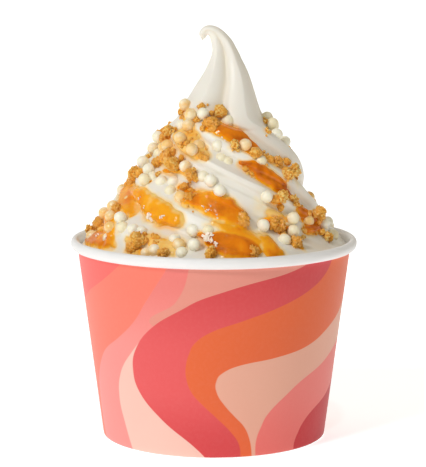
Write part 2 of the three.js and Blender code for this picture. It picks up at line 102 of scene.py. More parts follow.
# Ribs left by the star nozzle: phase of the lip, phase of the crease below it, depth of that
# crease as a share of the rib depth, and how far the lip lies behind the others
RIBS = [
    (0, -30, 1, 0), (-64, -82, 0.85, 0), (-98, -110, 0.55, -0.1), (-118, -141, 0.95, 0.22),
    (-165, -190, 1, 0), (-210, -245, 1, 0), (-270, -293, 0.85, 0.05), (-308, -322, 0.9, 0.05),
]
# The fewer, softer ribs that run on up the peak
PEAK_RIBS = [
    (0, -30, 1, 0), (-64, -125, 0.7, 0), (-165, -190, 1, 0), (-210, -245, 1, 0),
    (-270, -293, 0.8, 0),
]
PEAK_RIBS_FROM = (102, 109)
# Depth of the creases, the radius over which it grows, and its fading at the rim and the tip
RIB_DEPTH = 4.6
RIB_DEPTH_REACH = 6.5
RIM_FADE = (64, 70)
RIM_RELIEF = 0.12
TIP_FADE = (1.5, 5.5)
# Curve of the ledge above a lip and roundness of the flank below it, on the heap and the peak
LEDGE_POWER = 0.95
PEAK_LEDGE_POWER = 1.15
FLANK_ROUNDNESS = 1
PEAK_FLANK_ROUNDNESS = 0.45
FLANK_ARC = 0.65
# Azimuth of the first lip on the peak; below it the ribs wind by TOP_TWIST degrees in all between
# two heights, then by TWIST_RATE degrees for each millimetre
PEAK_AZIMUTH = 33
TWIST_TOP = 109
TWIST_FULL = 104
TOP_TWIST = 24.75
TWIST_RATE = 3.95
# Phase added away from an azimuth: it levels the ribs to the left of it, steepens those to the right
LEVELLING = 17
LEVEL_AZIMUTH = 25
# Swells of a hand-made serving: height, waves round the heap, rise for each radian, start
SWELLS = [(0.22, 2, 7, 0), (0.16, 3, -4.3, 1), (0.1, 5, 3.1, 2)]
SWELL_FROM = (66, 74)
SWELL_TO = (103, 112)
# Height from which rib_height starts its search
HEAP_MIDDLE = 85.0

# ---------------------------------------------------------------- where the toppings lie

# Azimuth and height of the pearls, and how deep they sit in the surface
PEARLS = [
    (-23, 109, 0.9), (-36, 108.5, 1), (-56, 111.5, 1.2), (10, 107, 2.2), (21, 99, 0.8),
    (86, 105, 0.9), (74, 101.5, 1.6), (-73, 100.5, 0.8), (-83, 96, 0.8), (-73, 95.5, 2.3),
    (-74, 92, 0.8), (-61, 90.5, 1.3), (-55, 87.5, 0.9), (-54, 89, 2.4), (-44, 88, 2.5),
    (-35, 88, 2.4), (-33, 85.5, 2.6), (-23, 83.5, 1.5), (-12, 90.5, 2.7), (-6, 89, 1.5),
    (1, 86, 0.8), (30, 84.5, 0.8), (28, 74, 0.8), (47, 76, 1.1), (46, 72.5, 0.8), (-10, 74, 2.2),
    (-9, 69, 0.8), (-76, 75.5, 0.8), (-69, 78, 0.9), (-54, 75.5, 1), (-50, 73.5, 2.4),
    (-41, 73, 1.6), (-37, 73, 2.5), (-60, 72.5, 1.5), (-31, 67, 2.6), (-19, 71.5, 2.8), (-14, 68, 2.6),
    (-85, 82.5, 1.7), (-3, 99.5, 2.9), (1, 96, 2.8), (6, 95, 2.8), (61, 75, 1.2), (72, 73, 1.6),
    (79, 68, 1.6), (37, 70, 1.8), (-67, 80.5, 2.2), (32, 95, 2.5), (-2, 74, 3), (-34, 105.5, 1.2),
    (-36, 101, 1.1), (-22, 98, 1.1), (-19, 99.5, 2), (-51, 98.5, 1.4), (-26, 93, 1.6),
    (-50, 105, 1.7), (-65, 75.5, 1.5), (-61, 69, 1.4), (-80, 67.5, 1.4), (-27, 68, 2.4),
    (-16, 69.5, 1.5),
]
# Azimuth, height and radius of the crumbs
CRUMBS = [
    (-62, 109.5, 1.2), (-52, 107.5, 1.2), (-27, 111.5, 1.2), (-4, 109.5, 2.2), (-11, 105.5, 2.3),
    (-8, 104.5, 1.5), (-29, 107.5, 1), (-32, 103, 1.4), (-29, 100, 1.3), (-14, 96.5, 1.1),
    (-11, 96, 1.1), (-76, 102.5, 1.4), (-54, 103, 1.7), (-61, 100.5, 1.8), (-51, 95.5, 1.5),
    (-43, 96.5, 1.7), (-80, 94, 1.2), (-60, 92.5, 1.7), (-61, 91.5, 0.9), (-35, 93.5, 2.5),
    (-20, 90.5, 2), (-17, 89.5, 1.2), (-75, 89, 1.9), (-66, 89.5, 1.5), (-52, 89.5, 1),
    (-83, 84, 2), (-24, 86, 1.6), (-19, 85, 1.3), (-17, 82.5, 1.9), (-13, 82.5, 1.3),
    (12, 99.5, 1.7), (-66, 78, 1.7), (-63, 78, 1), (-98, 70, 1.6), (-90, 70.5, 1.2), (-93, 68, 1.6),
    (-35, 70.5, 2.5), (-38, 68, 1.9), (-28, 71.5, 1.2), (-27, 70, 1), (-22, 67, 2), (-1, 67, 1.8),
    (18, 67.5, 1.8), (16, 76, 2.3), (35, 75.5, 1.8), (39, 74, 1.8), (39, 83.5, 2), (36, 83, 1.5),
    (41, 79.5, 1.3), (51, 81.5, 1.7), (68, 75.5, 2.3), (60, 77, 1.1), (54, 72, 1),
    (61, 71, 1), (42, 68.5, 1.9), (39, 71, 1.3), (52, 70, 1), (68, 68.5, 1.7), (66, 70.5, 1.3),
    (78, 106, 1.1), (54, 103.5, 1), (27, 96.5, 1.9), (36, 95.5, 1.2), (41, 94.5, 1.5),
    (48, 93.5, 1.7), (68, 93.5, 1.5), (64, 89.5, 2.3), (49, 89.5, 2), (52, 91, 1.2), (19, 92, 1.3),
    (23, 90.5, 1.1), (-52, 87.5, 0.8),
]
# Toppings strewn on the ledges at the back: where, how much they stray, the draws below which one
# is a pearl or a crumb, and how deep they sit
LEDGE_AZIMUTHS = (88, 272)
LEDGE_HEIGHTS = (68, 107)
LEDGE_START = 10
LEDGE_WANDER = 2.4
PEARL_SHARE = 0.5
CRUMB_SHARE = 0.92
PEARL_SINK = 0.9
CRUMB_SINK = 0.9
# Their spacing, and the shares of it that are sure and that chance adds
LEDGE_SPACING = 4.6
SPACING_SHARES = (0.75, 0.5)
# Heights between which the heap's girth is read
GIRTH_HEIGHTS = (66, 118)
RIM_CLEARANCE = 0.5
SEED = 20241
DRAW_FACTOR = 16807
DRAW_MODULUS = 2 ** 31 - 1

# Strokes of sauce: thickness, depth of colour, then azimuth, height and half width along it
SAUCE_STROKES = [
    (1.1, 0.5, [(-12, 105, 1.6), (-2, 105, 2.7), (10, 103.5, 3.3), (22, 102, 3.3), (31, 99, 2.6),
                (37, 97, 1.6)]),
    (1.2, 0.75, [(16, 94, 1.3), (23, 93, 2.7), (30, 91, 3.4), (38, 88, 3.4), (45, 85.5, 3),
                 (50, 83, 1.7)]),
    (1.2, 0.35, [(-23, 84, 1.9), (-18, 83.5, 3), (-10, 83, 3.5), (-2, 82, 4.5), (6, 80, 5),
                 (12, 78, 4.2), (16, 76, 2.6)]),
    (1.1, 0.17, [(-74, 83.5, 2.3), (-53, 82.5, 4), (-40, 80, 4.9), (-29, 78, 4.9), (-21, 77, 3.7)]),
    (1, 0.4, [(-78, 90, 1.7), (-86, 87.5, 2.7), (-84, 84, 2.7)]),
    (0.9, 0.2, [(-80, 83.5, 3.4), (-68, 81, 3.7), (-58, 79, 3), (-52, 77.5, 1.7)]),
    (1.2, 0.55, [(-6, 72.5, 1.7), (-1, 71.5, 3), (4, 70.5, 4.7), (10, 69.5, 4.7), (15, 69, 4.4),
                 (19, 68.5, 2.7)]),
    (0.9, 0.35, [(24, 71.5, 2), (26, 70, 3.4), (27, 68, 3.4), (30, 67, 2)]),
    (1, 0.45, [(-88, 67, 1.3), (-82, 67.5, 3), (-70, 68, 3.4), (-62, 68, 2.7), (-52, 67, 1)]),
    (0.6, 0.3, [(-82, 75, 3), (-74, 76, 4), (-67, 75, 4.6), (-62, 71.5, 4.4), (-58, 68, 3)]),
    (1, 0.85, [(53, 79, 1.3), (58, 77, 3), (66, 73, 3.4), (56, 72, 2.3)]),
    (0.7, 0.6, [(29, 76, 1), (34, 76, 2.3), (40, 74, 2.3), (45, 73, 1)]),
    (0.9, 0.5, [(-82, 103, 1.3), (-66, 102, 2.3), (-57, 101, 1.7)]),
    (0.8, 0.5, [(-48, 91, 1), (-40, 91, 1.3), (-28, 91.5, 1)]),
    (0.7, 0.6, [(34, 83, 1.3), (39, 81.5, 1.7)]),
    (0.6, 0.5, [(42, 69, 1.3), (44, 68, 1.3)]),
]
# Thin glaze between the pools, in the same terms
THIN_SAUCE = [
    (0.4, 0, [(-50, 112, 2.3), (-48, 109.5, 3), (-40, 106.5, 3.4), (-37, 103, 4),
              (-27, 100, 4.4), (-19, 98, 3.4), (-12, 96.5, 1.7)]),
    (0.5, 0.3, [(1, 76.5, 1.3), (7, 75, 1.7), (14, 74, 2), (20, 72, 2), (22, 70.5, 1.7)]),
    (0.35, 0.2, [(-82, 96.5, 1.3), (-54, 99, 2.3), (-44, 97, 2.3), (-53, 94, 2), (-64, 93, 1.3)]),
    (0.5, 0.75, [(-28, 86.5, 1), (-22, 86, 1.5), (-17, 84.5, 1.7), (-13, 82.5, 1.3)]),
    (0.3, 0.1, [(32, 79, 1.3), (38, 77.5, 2), (44, 76, 1.3)]),
    (0.45, 0.5, [(80, 76, 1.3), (87, 75, 2), (95, 72, 1.3)]),
    (0.35, 0.15, [(-30, 69.5, 1), (-25, 68.5, 1.7), (-20, 68.5, 2), (-16, 70, 1.7)]),
    (0.5, 0.15, [(-20, 69, 1), (-16, 69.5, 2), (-14, 69, 1)]),
    (0.35, 0.1, [(-44, 70, 1.3), (-38, 70, 2.3), (-36, 71.5, 1.3)]),
    (0.35, 0, [(-32, 71.5, 1.7), (-27, 70, 2.3), (-23, 69, 2.7), (-18, 68, 2)]),
    (0.3, 0.05, [(-42, 67.5, 1.7), (-38, 67, 2), (-32, 67, 1.7)]),
    (0.4, 0.45, [(20, 99, 1.3), (28, 98, 2), (35, 97, 1.3)]),
    (0.35, 0.15, [(-26, 92.5, 1.3), (-30, 92, 1.3), (-22, 90.5, 1.7)]),
    (0.35, 0.1, [(42, 94.5, 1.3), (50, 93, 1.7), (60, 91, 1.7)]),
]
# Sauce at the back lies this far up a ledge, between these heights, and tapers to both ends
BACK_LEDGE_SHARE = 0.55
BACK_HEIGHTS = (66.5, 107)
BACK_TAPER = np.array([0.4, 0.85, 1, 1, 0.8, 0.35])
# Its strokes: rib, first and last azimuth, half width, thickness, depth of colour
BACK_SAUCE = [
    (0, 96, 124, 2.4, 1.1, 0.6), (0, 150, 184, 3.2, 1.1, 0.15), (1, 92, 122, 2.8, 1, 0.4),
    (7, 122, 150, 2.4, 1, 0.8), (7, 178, 216, 3.2, 1.1, 0.5), (6, 150, 172, 1.8, 0.9, 0.3),
    (6, 196, 232, 3, 1.1, 0.7), (5, 206, 232, 2, 1, 0.4), (5, 246, 270, 2.6, 1.1, 0.6),
    (6, 248, 276, 2.4, 0.9, 0.1), (4, 240, 262, 1.8, 1, 0.8),
]
# Places where sauce has soaked in and left no film: azimuth, height and reach
SOAKED = [
    (27, 80.5, 5), (34, 79.5, 5.5), (40, 77.5, 5), (-36, 104, 5), (-26, 99, 4), (-30, 69, 4),
    (54, 83, 4), (-53, 71.5, 3.5), (-3, 76, 3), (60, 87, 3.5),
]


def smoothstep(value, low, high):
    t = np.clip((np.asarray(value, float) - low) / (high - low), 0, 1)
    return t * t * (3 - 2 * t)


def along_table(table, at, column):
    """Smooth value of a column of a table whose first column rises."""
    at = np.asarray(at, float)
    knots, values = table[:, 0], table[:, column]
    last = len(knots) - 1
    before = np.maximum(np.arange(last + 1) - 1, 0)
    after = np.minimum(np.arange(last + 1) + 1, last)
    slopes = (values[after] - values[before]) / (knots[after] - knots[before])
    index = np.clip(np.searchsorted(knots, at, side="right") - 1, 0, last - 1)
    span = knots[index + 1] - knots[index]
    t = (at - knots[index]) / span
    rise = t * t * (3 - 2 * t)
    bend = slopes[index] * t * (1 - t) ** 2 - slopes[index + 1] * t * t * (1 - t)
    return values[index] + (values[index + 1] - values[index]) * rise + span * bend


def heap_radius(height):
    """Radius at the lips of the ribs."""
    return along_table(HEAP, height, 1)


def twist(height):
    """Azimuth of the first rib's lip."""
    height = np.asarray(height, float)
    eased = np.clip((TWIST_TOP - height) / (TWIST_TOP - TWIST_FULL), 0, 1)
    steady = np.maximum(TWIST_FULL - height, 0)
    return PEAK_AZIMUTH + TOP_TWIST * eased ** 2 + TWIST_RATE * steady


def levelling(azimuth, height):
    """Phase by which the ribs are levelled; the peak is left out."""
    share = 1 - smoothstep(height, TWIST_FULL, TWIST_TOP)
    return LEVELLING * share * (1 - np.cos(np.radians(azimuth - LEVEL_AZIMUTH)))


def rib_phase(azimuth, height):
    return azimuth - twist(height) + levelling(azimuth, height)


def rib_azimuth(phase, height):
    azimuth = phase + twist(height)
    for _ in range(6):
        azimuth = phase + twist(height) - levelling(azimuth, height)
    return azimuth


def rib_height(phase, azimuth):
    """Height at which a phase of the ribs passes an azimuth, between the rim and the peak."""
    height = np.full(np.broadcast(phase, azimuth).shape, HEAP_MIDDLE)
    for _ in range(4):
        wound = azimuth - phase + levelling(azimuth, height) - PEAK_AZIMUTH
        wound = (wound + 90) % 360 - 90
        eased = np.sqrt(np.clip(wound / TOP_TWIST, 0, None))
        steady = TWIST_FULL - (wound - TOP_TWIST) / TWIST_RATE
        height = np.where(eased < 1, TWIST_TOP - (TWIST_TOP - TWIST_FULL) * eased, steady)
    return height


def crease_above(index, ribs=RIBS):
    """Phase and depth of the crease above a rib's lip."""
    _, crease, depth, _ = ribs[index - 1]
    return crease + (360 if index == 0 else 0), depth


def ribbed(phase, ribs, power, roundness):
    """How far a ribbed surface lies behind its lips, as a share of the rib depth."""
    top = crease_above(0, ribs)[0]
    turned = top - (top - np.asarray(phase, float)) % 360
    drop = np.zeros_like(turned)
    for index, (lip, crease, depth, sink) in enumerate(ribs):
        above, depth_above = crease_above(index, ribs)
        ledge = np.clip((turned - lip) / (above - lip), 0, 1)
        on_ledge = (turned > lip) & (turned <= above)
        drop = np.where(on_ledge, sink + (depth_above - sink) * ledge ** power, drop)
        flank = np.clip((lip - turned) / (lip - crease), 0, 1)
        arc = 1 - np.sqrt(1 - flank ** 2)
        round_side = (1 - FLANK_ARC) * flank ** 2 + FLANK_ARC * arc
        side = flank + (round_side - flank) * roundness
        on_flank = (turned <= lip) & (turned > crease)
        drop = np.where(on_flank, sink + (depth - sink) * side, drop)
    return drop


def rib_drop(phase, height):
    """How far the surface lies behind the lips at a height, as a share of the rib depth."""
    peak = smoothstep(height, *PEAK_RIBS_FROM)
    heap = ribbed(phase, RIBS, LEDGE_POWER, FLANK_ROUNDNESS)
    tip = ribbed(phase, PEAK_RIBS, PEAK_LEDGE_POWER, PEAK_FLANK_ROUNDNESS)
    return heap + (tip - heap) * peak


def relief(radius, height):
    """Share of the full rib depth at a radius and a height."""
    at_rim = RIM_RELIEF + (1 - RIM_RELIEF) * smoothstep(height, *RIM_FADE)
    return (1 - np.exp(-radius / RIB_DEPTH_REACH)) * at_rim * smoothstep(radius, *TIP_FADE)


def unevenness(azimuth, height):
    """Slow swells of the surface, in millimetres."""
    turn = np.radians(azimuth)
    swell = sum(size * np.sin(waves * turn + height / rise + start)
                for size, waves, rise, start in SWELLS)
    return swell * smoothstep(height, *SWELL_FROM) * (1 - smoothstep(height, *SWELL_TO))


def outward(azimuth):
    """Level direction away from the axis."""
    angle = np.radians(azimuth)
    return np.stack([np.sin(angle), -np.cos(angle), 0 * angle], -1)


def unit(vector):
    return vector / np.linalg.norm(vector, axis=-1, keepdims=True)


def heap_point(azimuth, height, radius):
    """Points at a distance from the heap's leaning axis."""
    lean = along_table(HEAP, height, 2)
    return np.stack([lean, 0 * lean, height], -1) + outward(azimuth) * radius[..., None]


def plain_point(azimuth, height):
    """Points on the heap without its ribs."""
    azimuth, height = np.broadcast_arrays(np.asarray(azimuth, float), np.asarray(height, float))
    return heap_point(azimuth, height, heap_radius(height))


def surface_point(azimuth, height, lift=0.0, fill=0.0):
    """Points on the heap; fill is how far sauce levels the creases, from 0 to 1."""
    azimuth, height = np.broadcast_arrays(np.asarray(azimuth, float), np.asarray(height, float))
    lips = heap_radius(height)
    drop = rib_drop(rib_phase(azimuth, height), height) * (1 - fill)
    radius = lips - RIB_DEPTH * relief(lips, height) * drop + unevenness(azimuth, height)
    slope = (heap_radius(height + 1) - heap_radius(height - 1)) / 2
    plain_normal = unit(outward(azimuth) + np.stack([0 * slope, 0 * slope, -slope], -1))
    lift = np.asarray(lift, float)[..., None]
    return heap_point(azimuth, height, radius) + plain_normal * lift


def surface_normal(azimuth, height):
    around = surface_point(azimuth + 2, height) - surface_point(azimuth - 2, height)
    up = surface_point(azimuth, height + 0.8) - surface_point(azimuth, height - 0.8)
    return unit(np.cross(around, up))


def degrees_round(distance, height):
    """Degrees that a distance spans round the heap."""
    return math.degrees(distance / float(heap_radius(np.clip(height, *GIRTH_HEIGHTS))))


def seeded_draws(state):
    """Numbers from 0 to 1 by the rule that the solids use, so that pieces lie in the same places."""
    while True:
        state = state * DRAW_FACTOR % DRAW_MODULUS
        yield state / DRAW_MODULUS


def wall_radius(height):
    return FOOT_RADIUS + (MOUTH_RADIUS - FOOT_RADIUS) * height / WALL_TOP


def clear_of_rim(centre, radius):
    reach = math.hypot(centre[0], centre[1])
    gap = math.hypot(reach - BEAD_CENTRE[0], centre[2] - BEAD_CENTRE[1]) - BEAD_HEIGHT / 2 - radius
    inside = wall_radius(centre[2]) - PAPER - reach - radius
    return gap > RIM_CLEARANCE and (centre[2] > CUP_HEIGHT + radius or inside > RIM_CLEARANCE)


def strewn_toppings(settings):
    """Azimuth, height, radius and sink of the pearls and of the crumbs, all round the heap."""
    draws = seeded_draws(SEED)
    pearl_radius = settings.pearl_diameter / 2 / MM
    small, large = settings.crumb_small / MM, settings.crumb_large / MM
    pearls = [(azimuth, height, pearl_radius, sink) for azimuth, height, sink in PEARLS]
    crumbs = [(*crumb, CRUMB_SINK) for crumb in CRUMBS]
    for index, rib in enumerate(RIBS):
        middle = (rib[0] + crease_above(index)[0]) / 2
        azimuth = LEDGE_AZIMUTHS[0] + next(draws) * LEDGE_START
        while azimuth < LEDGE_AZIMUTHS[1]:
            height = float(rib_height(middle, azimuth)) + (next(draws) - 0.5) * LEDGE_WANDER
            kind = next(draws)
            size = next(draws)
            if LEDGE_HEIGHTS[0] < height < LEDGE_HEIGHTS[1]:
                if kind < PEARL_SHARE:
                    pearls.append((azimuth, height, pearl_radius, PEARL_SINK + size ** 2))
                elif kind < CRUMB_SHARE:
                    radius = small + (large - small) * size ** 1.5
                    crumbs.append((azimuth, height, radius, CRUMB_SINK))
            share = SPACING_SHARES[0] + SPACING_SHARES[1] * next(draws)
            azimuth += degrees_round(LEDGE_SPACING * share, height)
    return pearls, crumbs


# ---------------------------------------------------------------- node trees as expressions

class Value:
    """A socket that a node puts out; an expression on it adds Math nodes."""

    def __init__(self, net, socket):
        self.net = net
        self.socket = socket

    def _math(self, operation, first, second):
        return self.net.node("ShaderNodeMath", {"operation": operation}, {0: first, 1: second})

    def __add__(self, other):
        return self._math("ADD", self, other)

    __radd__ = __add__

    def __sub__(self, other):
        return self._math("SUBTRACT", self, other)

    def __rsub__(self, other):
        return self._math("SUBTRACT", other, self)

    def __mul__(self, other):
        return self._math("MULTIPLY", self, other)

    __rmul__ = __mul__

    def __truediv__(self, other):
        return self._math("DIVIDE", self, other)

    def clamped(self):
        return self.net.node("ShaderNodeClamp", {}, {"Value": self})


class Net:
    """The node tree of a material or a world, or a geometry node tree."""

    def __init__(self, owner):
        self.owner = owner
        self.tree = owner
        if not isinstance(owner, bpy.types.NodeTree):
            owner.use_nodes = True
            self.tree = owner.node_tree
            self.tree.nodes.clear()

    def node(self, kind, settings=None, inputs=None, output=0):
        """Adds one node: its settings first, then the values or links of its sockets."""
        made = self.tree.nodes.new(kind)
        for name, value in (settings or {}).items():
            if name == "points":
                line = made.mapping.curves[0]
                while len(line.points) < len(value):
                    line.points.new(0.5, 0.5)
                for point, place in zip(line.points, value):
                    point.location = place
                made.mapping.update()
            else:
                setattr(made, name, value)
        for key, value in (inputs or {}).items():
            socket = made.inputs[key]
            if isinstance(value, Value):
                self.tree.links.new(value.socket, socket)
            elif isinstance(value, (tuple, Color)) and len(socket.default_value) == 4:
                socket.default_value = (*value, 1)
            else:
                socket.default_value = value
        return Value(self, made.outputs[output]) if made.outputs else None

    def axes(self, place):
        """The x, y and z of a position."""
        split = self.node("ShaderNodeSeparateXYZ", {}, {0: place}).socket.node
        return [Value(self, socket) for socket in split.outputs]

    def mix(self, factor, first, second):
        """Colour between two colours."""
        return self.node("ShaderNodeMix", {"data_type": "RGBA"}, {0: factor, 6: first, 7: second}, 2)

    def noise(self, place, scale, detail=2.0, roughness=0.5):
        return self.node("ShaderNodeTexNoise", {},
                         {"Vector": place, "Scale": scale, "Detail": detail, "Roughness": roughness})

    def ramp(self, value, low, high):
        """Smooth step from 0 at low to 1 at high."""
        return self.node("ShaderNodeMapRange", {"interpolation_type": "SMOOTHSTEP"},
                         {"Value": value, "From Min": low, "From Max": high})

    def bump(self, height, distance, strength, below=None):
        inputs = {"Height": height, "Distance": distance, "Strength": strength}
        if below:
            inputs["Normal"] = below
        return self.node("ShaderNodeBump", {}, inputs)

    def attribute(self, name):
        """A number stored on the mesh, read by a material."""
        return self.node("ShaderNodeAttribute", {"attribute_name": name}, {}, "Fac")

    def stored(self, name, kind="FLOAT"):
        """A value stored on the mesh, read by a geometry node tree."""
        return self.node("GeometryNodeInputNamedAttribute", {"data_type": kind}, {"Name": name})


def new_finish(name):
    """The net of a new material, and its object-space position."""
    net = Net(bpy.data.materials.new(name))
    return net, net.node("ShaderNodeTexCoord", {}, {}, "Object")


def finish_surface(net, tone, roughness, inputs, scatter=None):
    """Ends a material; scatter is the weight of light inside it and its reach by colour."""
    if scatter:
        inputs = {**inputs, "Subsurface Weight": scatter[0], "Subsurface Radius": scatter[1],
                  "Subsurface Scale": 1.0}
    shader = net.node("ShaderNodeBsdfPrincipled", {"subsurface_method": "RANDOM_WALK"},
                      {"Base Color": tone, "Roughness": roughness, **inputs})
    net.node("ShaderNodeOutputMaterial", {}, {"Surface": shader})
    return net.owner


def darker(tone, share):
    return tuple(part * share for part in tone)


# ---------------------------------------------------------------- settings

def color(name, description, default):
    return FloatVectorProperty(name=name, description=description, default=default,
                               subtype="COLOR", size=3, min=0, max=1)


def length(name, description, default):
    return FloatProperty(name=name, description=description, default=default, min=0,
                         subtype="DISTANCE", unit="LENGTH")


def strength(name, description, default):
    return FloatProperty(name=name, description=description, default=default, min=0)


def number(name, description, default):
    return IntProperty(name=name, description=description, default=default, min=0)


class FroyoCupSettings(bpy.types.PropertyGroup):
    """Sizes and print colours of the paper cup"""
    seam_width: length("Seam width", "Width of the glued overlap at the back", 0.008)
    crimson: color("Crimson", "Wide dark band of the print", (0.76, 0.095, 0.097))
    # Partly the print's deep red, partly painted shade where the band runs at the right side, at the
    # foot and under the rim
    garnet: color("Garnet", "Deep red at the right and at both ends of the crimson band",
                  (0.64, 0.055, 0.06))
    claret: color("Claret", "Lowest band at the right", (0.55, 0.02, 0.026))
    # Partly print, partly painted shade: the band darker towards the foot
    brick: color("Brick", "Foot of the soft red band", (0.8, 0.165, 0.142))
    pink: color("Pink", "Foot of the soft red band at the left", (0.88, 0.28, 0.25))
    coral: color("Coral", "Band at the left", (0.94, 0.138, 0.118))
    salmon: color("Salmon", "Light band at the left", (0.96, 0.195, 0.132))
    rose: color("Rose", "Soft red band", (0.82, 0.2, 0.172))
    peach: color("Peach", "Palest band", (0.86, 0.53, 0.44))
    blush: color("Blush", "Soft pink band under the rim", (0.76, 0.28, 0.215))
    apricot: color("Apricot", "Deeper peach band", (0.78, 0.4, 0.29))
    orange: color("Orange", "Orange band", (0.76, 0.128, 0.032))
    fleck: color("Fleck", "Fine light flecks in the ink", (1, 0.86, 0.8))
    cloud: color("Cloud", "Slow darker patches in the ink", (0.6, 0.1, 0.1))
    white: color("White", "Unprinted paper", (0.86, 0.85, 0.84))


class FroyoYogurtSettings(bpy.types.PropertyGroup):
    """Shape and colour of the frozen yogurt"""
    rib_depth: length("Rib depth", "Depth of the creases between the ribs", RIB_DEPTH * MM)
    grain: length("Grain", "Height of the fine unevenness of the frozen surface", 0.00006)
    light: color("Light", "Colour of the yogurt", (0.87, 0.83, 0.745))
    cloud: color("Cloud", "Colour of slow patches in it", (0.86, 0.82, 0.73))
    # Painted shade: the darker, warmer colour laid deep in the creases
    crease: color("Crease", "Colour deep in the creases", (0.78, 0.67, 0.49))
    tinted: color("Tinted", "Colour close to sauce and crumbs", (0.93, 0.79, 0.5))
    stained: color("Stained", "Colour where sauce has soaked in", (0.93, 0.6, 0.22))


class FroyoSauceSettings(bpy.types.PropertyGroup):
    """Caramel sauce"""
    thickness: length("Thickness", "Height of a pool above the yogurt", 0.0009)
    edge: color("Edge", "Colour where a pool thins out over the yogurt", (0.98, 0.62, 0.19))
    thin: color("Thin", "Colour of a thin pool", (0.96, 0.4, 0.01))
    middle: color("Middle", "Colour of a shallow pool", (0.85, 0.23, 0.002))
    deep: color("Deep", "Colour over a crease", (0.52, 0.11, 0.002))


class FroyoToppingSettings(bpy.types.PropertyGroup):
    """Pearls, crumbs, grit and salt"""
    pearl_diameter: length("Pearl diameter", "Diameter of a white chocolate pearl", 0.0041)
    crumb_small: length("Small crumb",
                        "Radius of the smallest crumb; smaller ones are made as bits", 0.0015)
    crumb_large: length("Large crumb", "Radius of the largest crumb", 0.0026)
    grit_count: number("Grit", "Number of bits of grit", 220)
    seed: number("Seed", "Seed of the random draws", 7)
    pearl: color("Pearl", "White chocolate", (0.96, 0.9, 0.72))
    pearl_cloud: color("Pearl cloud", "Paler patches on a pearl", (0.98, 0.95, 0.84))
    cream: color("Cream", "Pearl with a touch of the sauce", (0.92, 0.8, 0.5))
    honey: color("Honey", "Pearl glazed by the sauce", (0.95, 0.58, 0.17))
    crust: color("Crust", "Baked crumb", (0.96, 0.46, 0.055))
    # Painted highlight on the raised grains, broken by random pale patches
    crumb_light: color("Crumb light", "Raised grains of a crumb", (1, 0.77, 0.27))
    # Painted shade: the dark colour laid in the hollows of a crumb
    crumb_dark: color("Crumb dark", "Hollows of a crumb", (0.68, 0.26, 0.015))
    amber: color("Amber", "Crumb glazed by the sauce", (0.92, 0.38, 0.02))
    salt: color("Salt", "Salt flakes", (1, 0.83, 0.66))
    salt_cloud: color("Salt cloud", "Paler patches on the salt", (1, 0.92, 0.82))


class FroyoStageSettings(bpy.types.PropertyGroup):
    """Lights and floor"""
    key_power: strength("Key light", "Strength of the key light", 1.4)
    spark: strength("Spark", "Strength of the small hard light that glints", 0.25)
    sky: strength("Sky", "Strength of the surrounding light", 0.19)
    side: strength("Side", "Extra light from the left", 0.06)
    above: strength("Above", "Extra light from above", 0.2)
    backdrop: strength("Backdrop", "Extra light behind the object", 0.5)
    lift: strength("Floor glow", "Glow that keeps the floor pale", 0.6)
    floor: color("Floor", "Colour of the floor", (0.93, 0.93, 0.93))
    glow: color("Glow", "Colour of the floor's glow", (0.94, 0.98, 1))
    key: color("Key colour", "Colour of the key light", (0.95, 0.975, 1))
    sky_left: color("Sky left", "Colour of the surrounding light at the left", (1, 0.965, 0.89))
    sky_right: color("Sky right", "Colour of the surrounding light at the right", (1, 0.87, 0.66))


# ---------------------------------------------------------------- meshes

def linked(name, data):
    """A new object in the scene."""
    made = bpy.data.objects.new(name, data)
    bpy.context.scene.collection.objects.link(made)
    return made


def mesh_piece(name, points, faces, material):
    """A new smooth object from points in millimetres."""
    mesh = bpy.data.meshes.new(name)
    mesh.from_pydata((np.asarray(points) * MM).tolist(), [], faces)
    mesh.materials.append(material)
    mesh.polygons.foreach_set("use_smooth", [True] * len(mesh.polygons))
    mesh.validate()
    mesh.update()
    return linked(name, mesh)


def store(piece, name, values):
    """Stores a number or a vector for each point."""
    values = np.asarray(values, float)
    kind, key = ("FLOAT_VECTOR", "vector") if values.ndim == 2 else ("FLOAT", "value")
    layer = piece.data.attributes.new(name, kind, "POINT")
    layer.data.foreach_set(key, values.ravel())


def shell_faces(rings, columns):
    """Quads between rings of points, and a fan to each of the two end points after them."""
    ring = np.arange(rings - 1)[:, None] * columns
    column = np.arange(columns)
    after = (column + 1) % columns
    quads = [ring + column, ring + after, ring + columns + after, ring + columns + column]
    faces = np.stack(quads, -1).reshape(-1, 4).tolist()
    count = rings * columns
    last = count - columns
    for first, second in zip(column.tolist(), after.tolist()):
        faces += [(count, second, first), (count + 1, last + first, last + second)]
    return faces


def through_nodes(piece, tree, values):
    """Runs a geometry node tree on a piece and keeps the result as a plain mesh."""
    modifier = piece.modifiers.new(tree.name, "NODES")
    modifier.node_group = tree
    for item in tree.interface.items_tree:
        if item.item_type == "SOCKET" and item.in_out == "INPUT" and item.name in values:
            modifier[item.identifier] = values[item.name]
    evaluated = piece.evaluated_get(bpy.context.evaluated_depsgraph_get())
    mesh = bpy.data.meshes.new_from_object(evaluated)
    mesh.name = piece.name
    piece.modifiers.remove(modifier)
    piece.data = mesh


def geometry_tree(name, sockets):
    """A geometry node tree with the named inputs; returns its net and its inputs."""
    tree = bpy.data.node_groups.new(name, "GeometryNodeTree")
    tree.interface.new_socket("Geometry", in_out="OUTPUT", socket_type="NodeSocketGeometry")
    tree.interface.new_socket("Geometry", in_out="INPUT", socket_type="NodeSocketGeometry")
    for label, kind in sockets.items():
        tree.interface.new_socket(label, in_out="INPUT", socket_type="NodeSocket" + kind)
    net = Net(tree)
    start = tree.nodes.new("NodeGroupInput")
    inputs = {socket.name: Value(net, socket) for socket in start.outputs if socket.name}
    return net, inputs


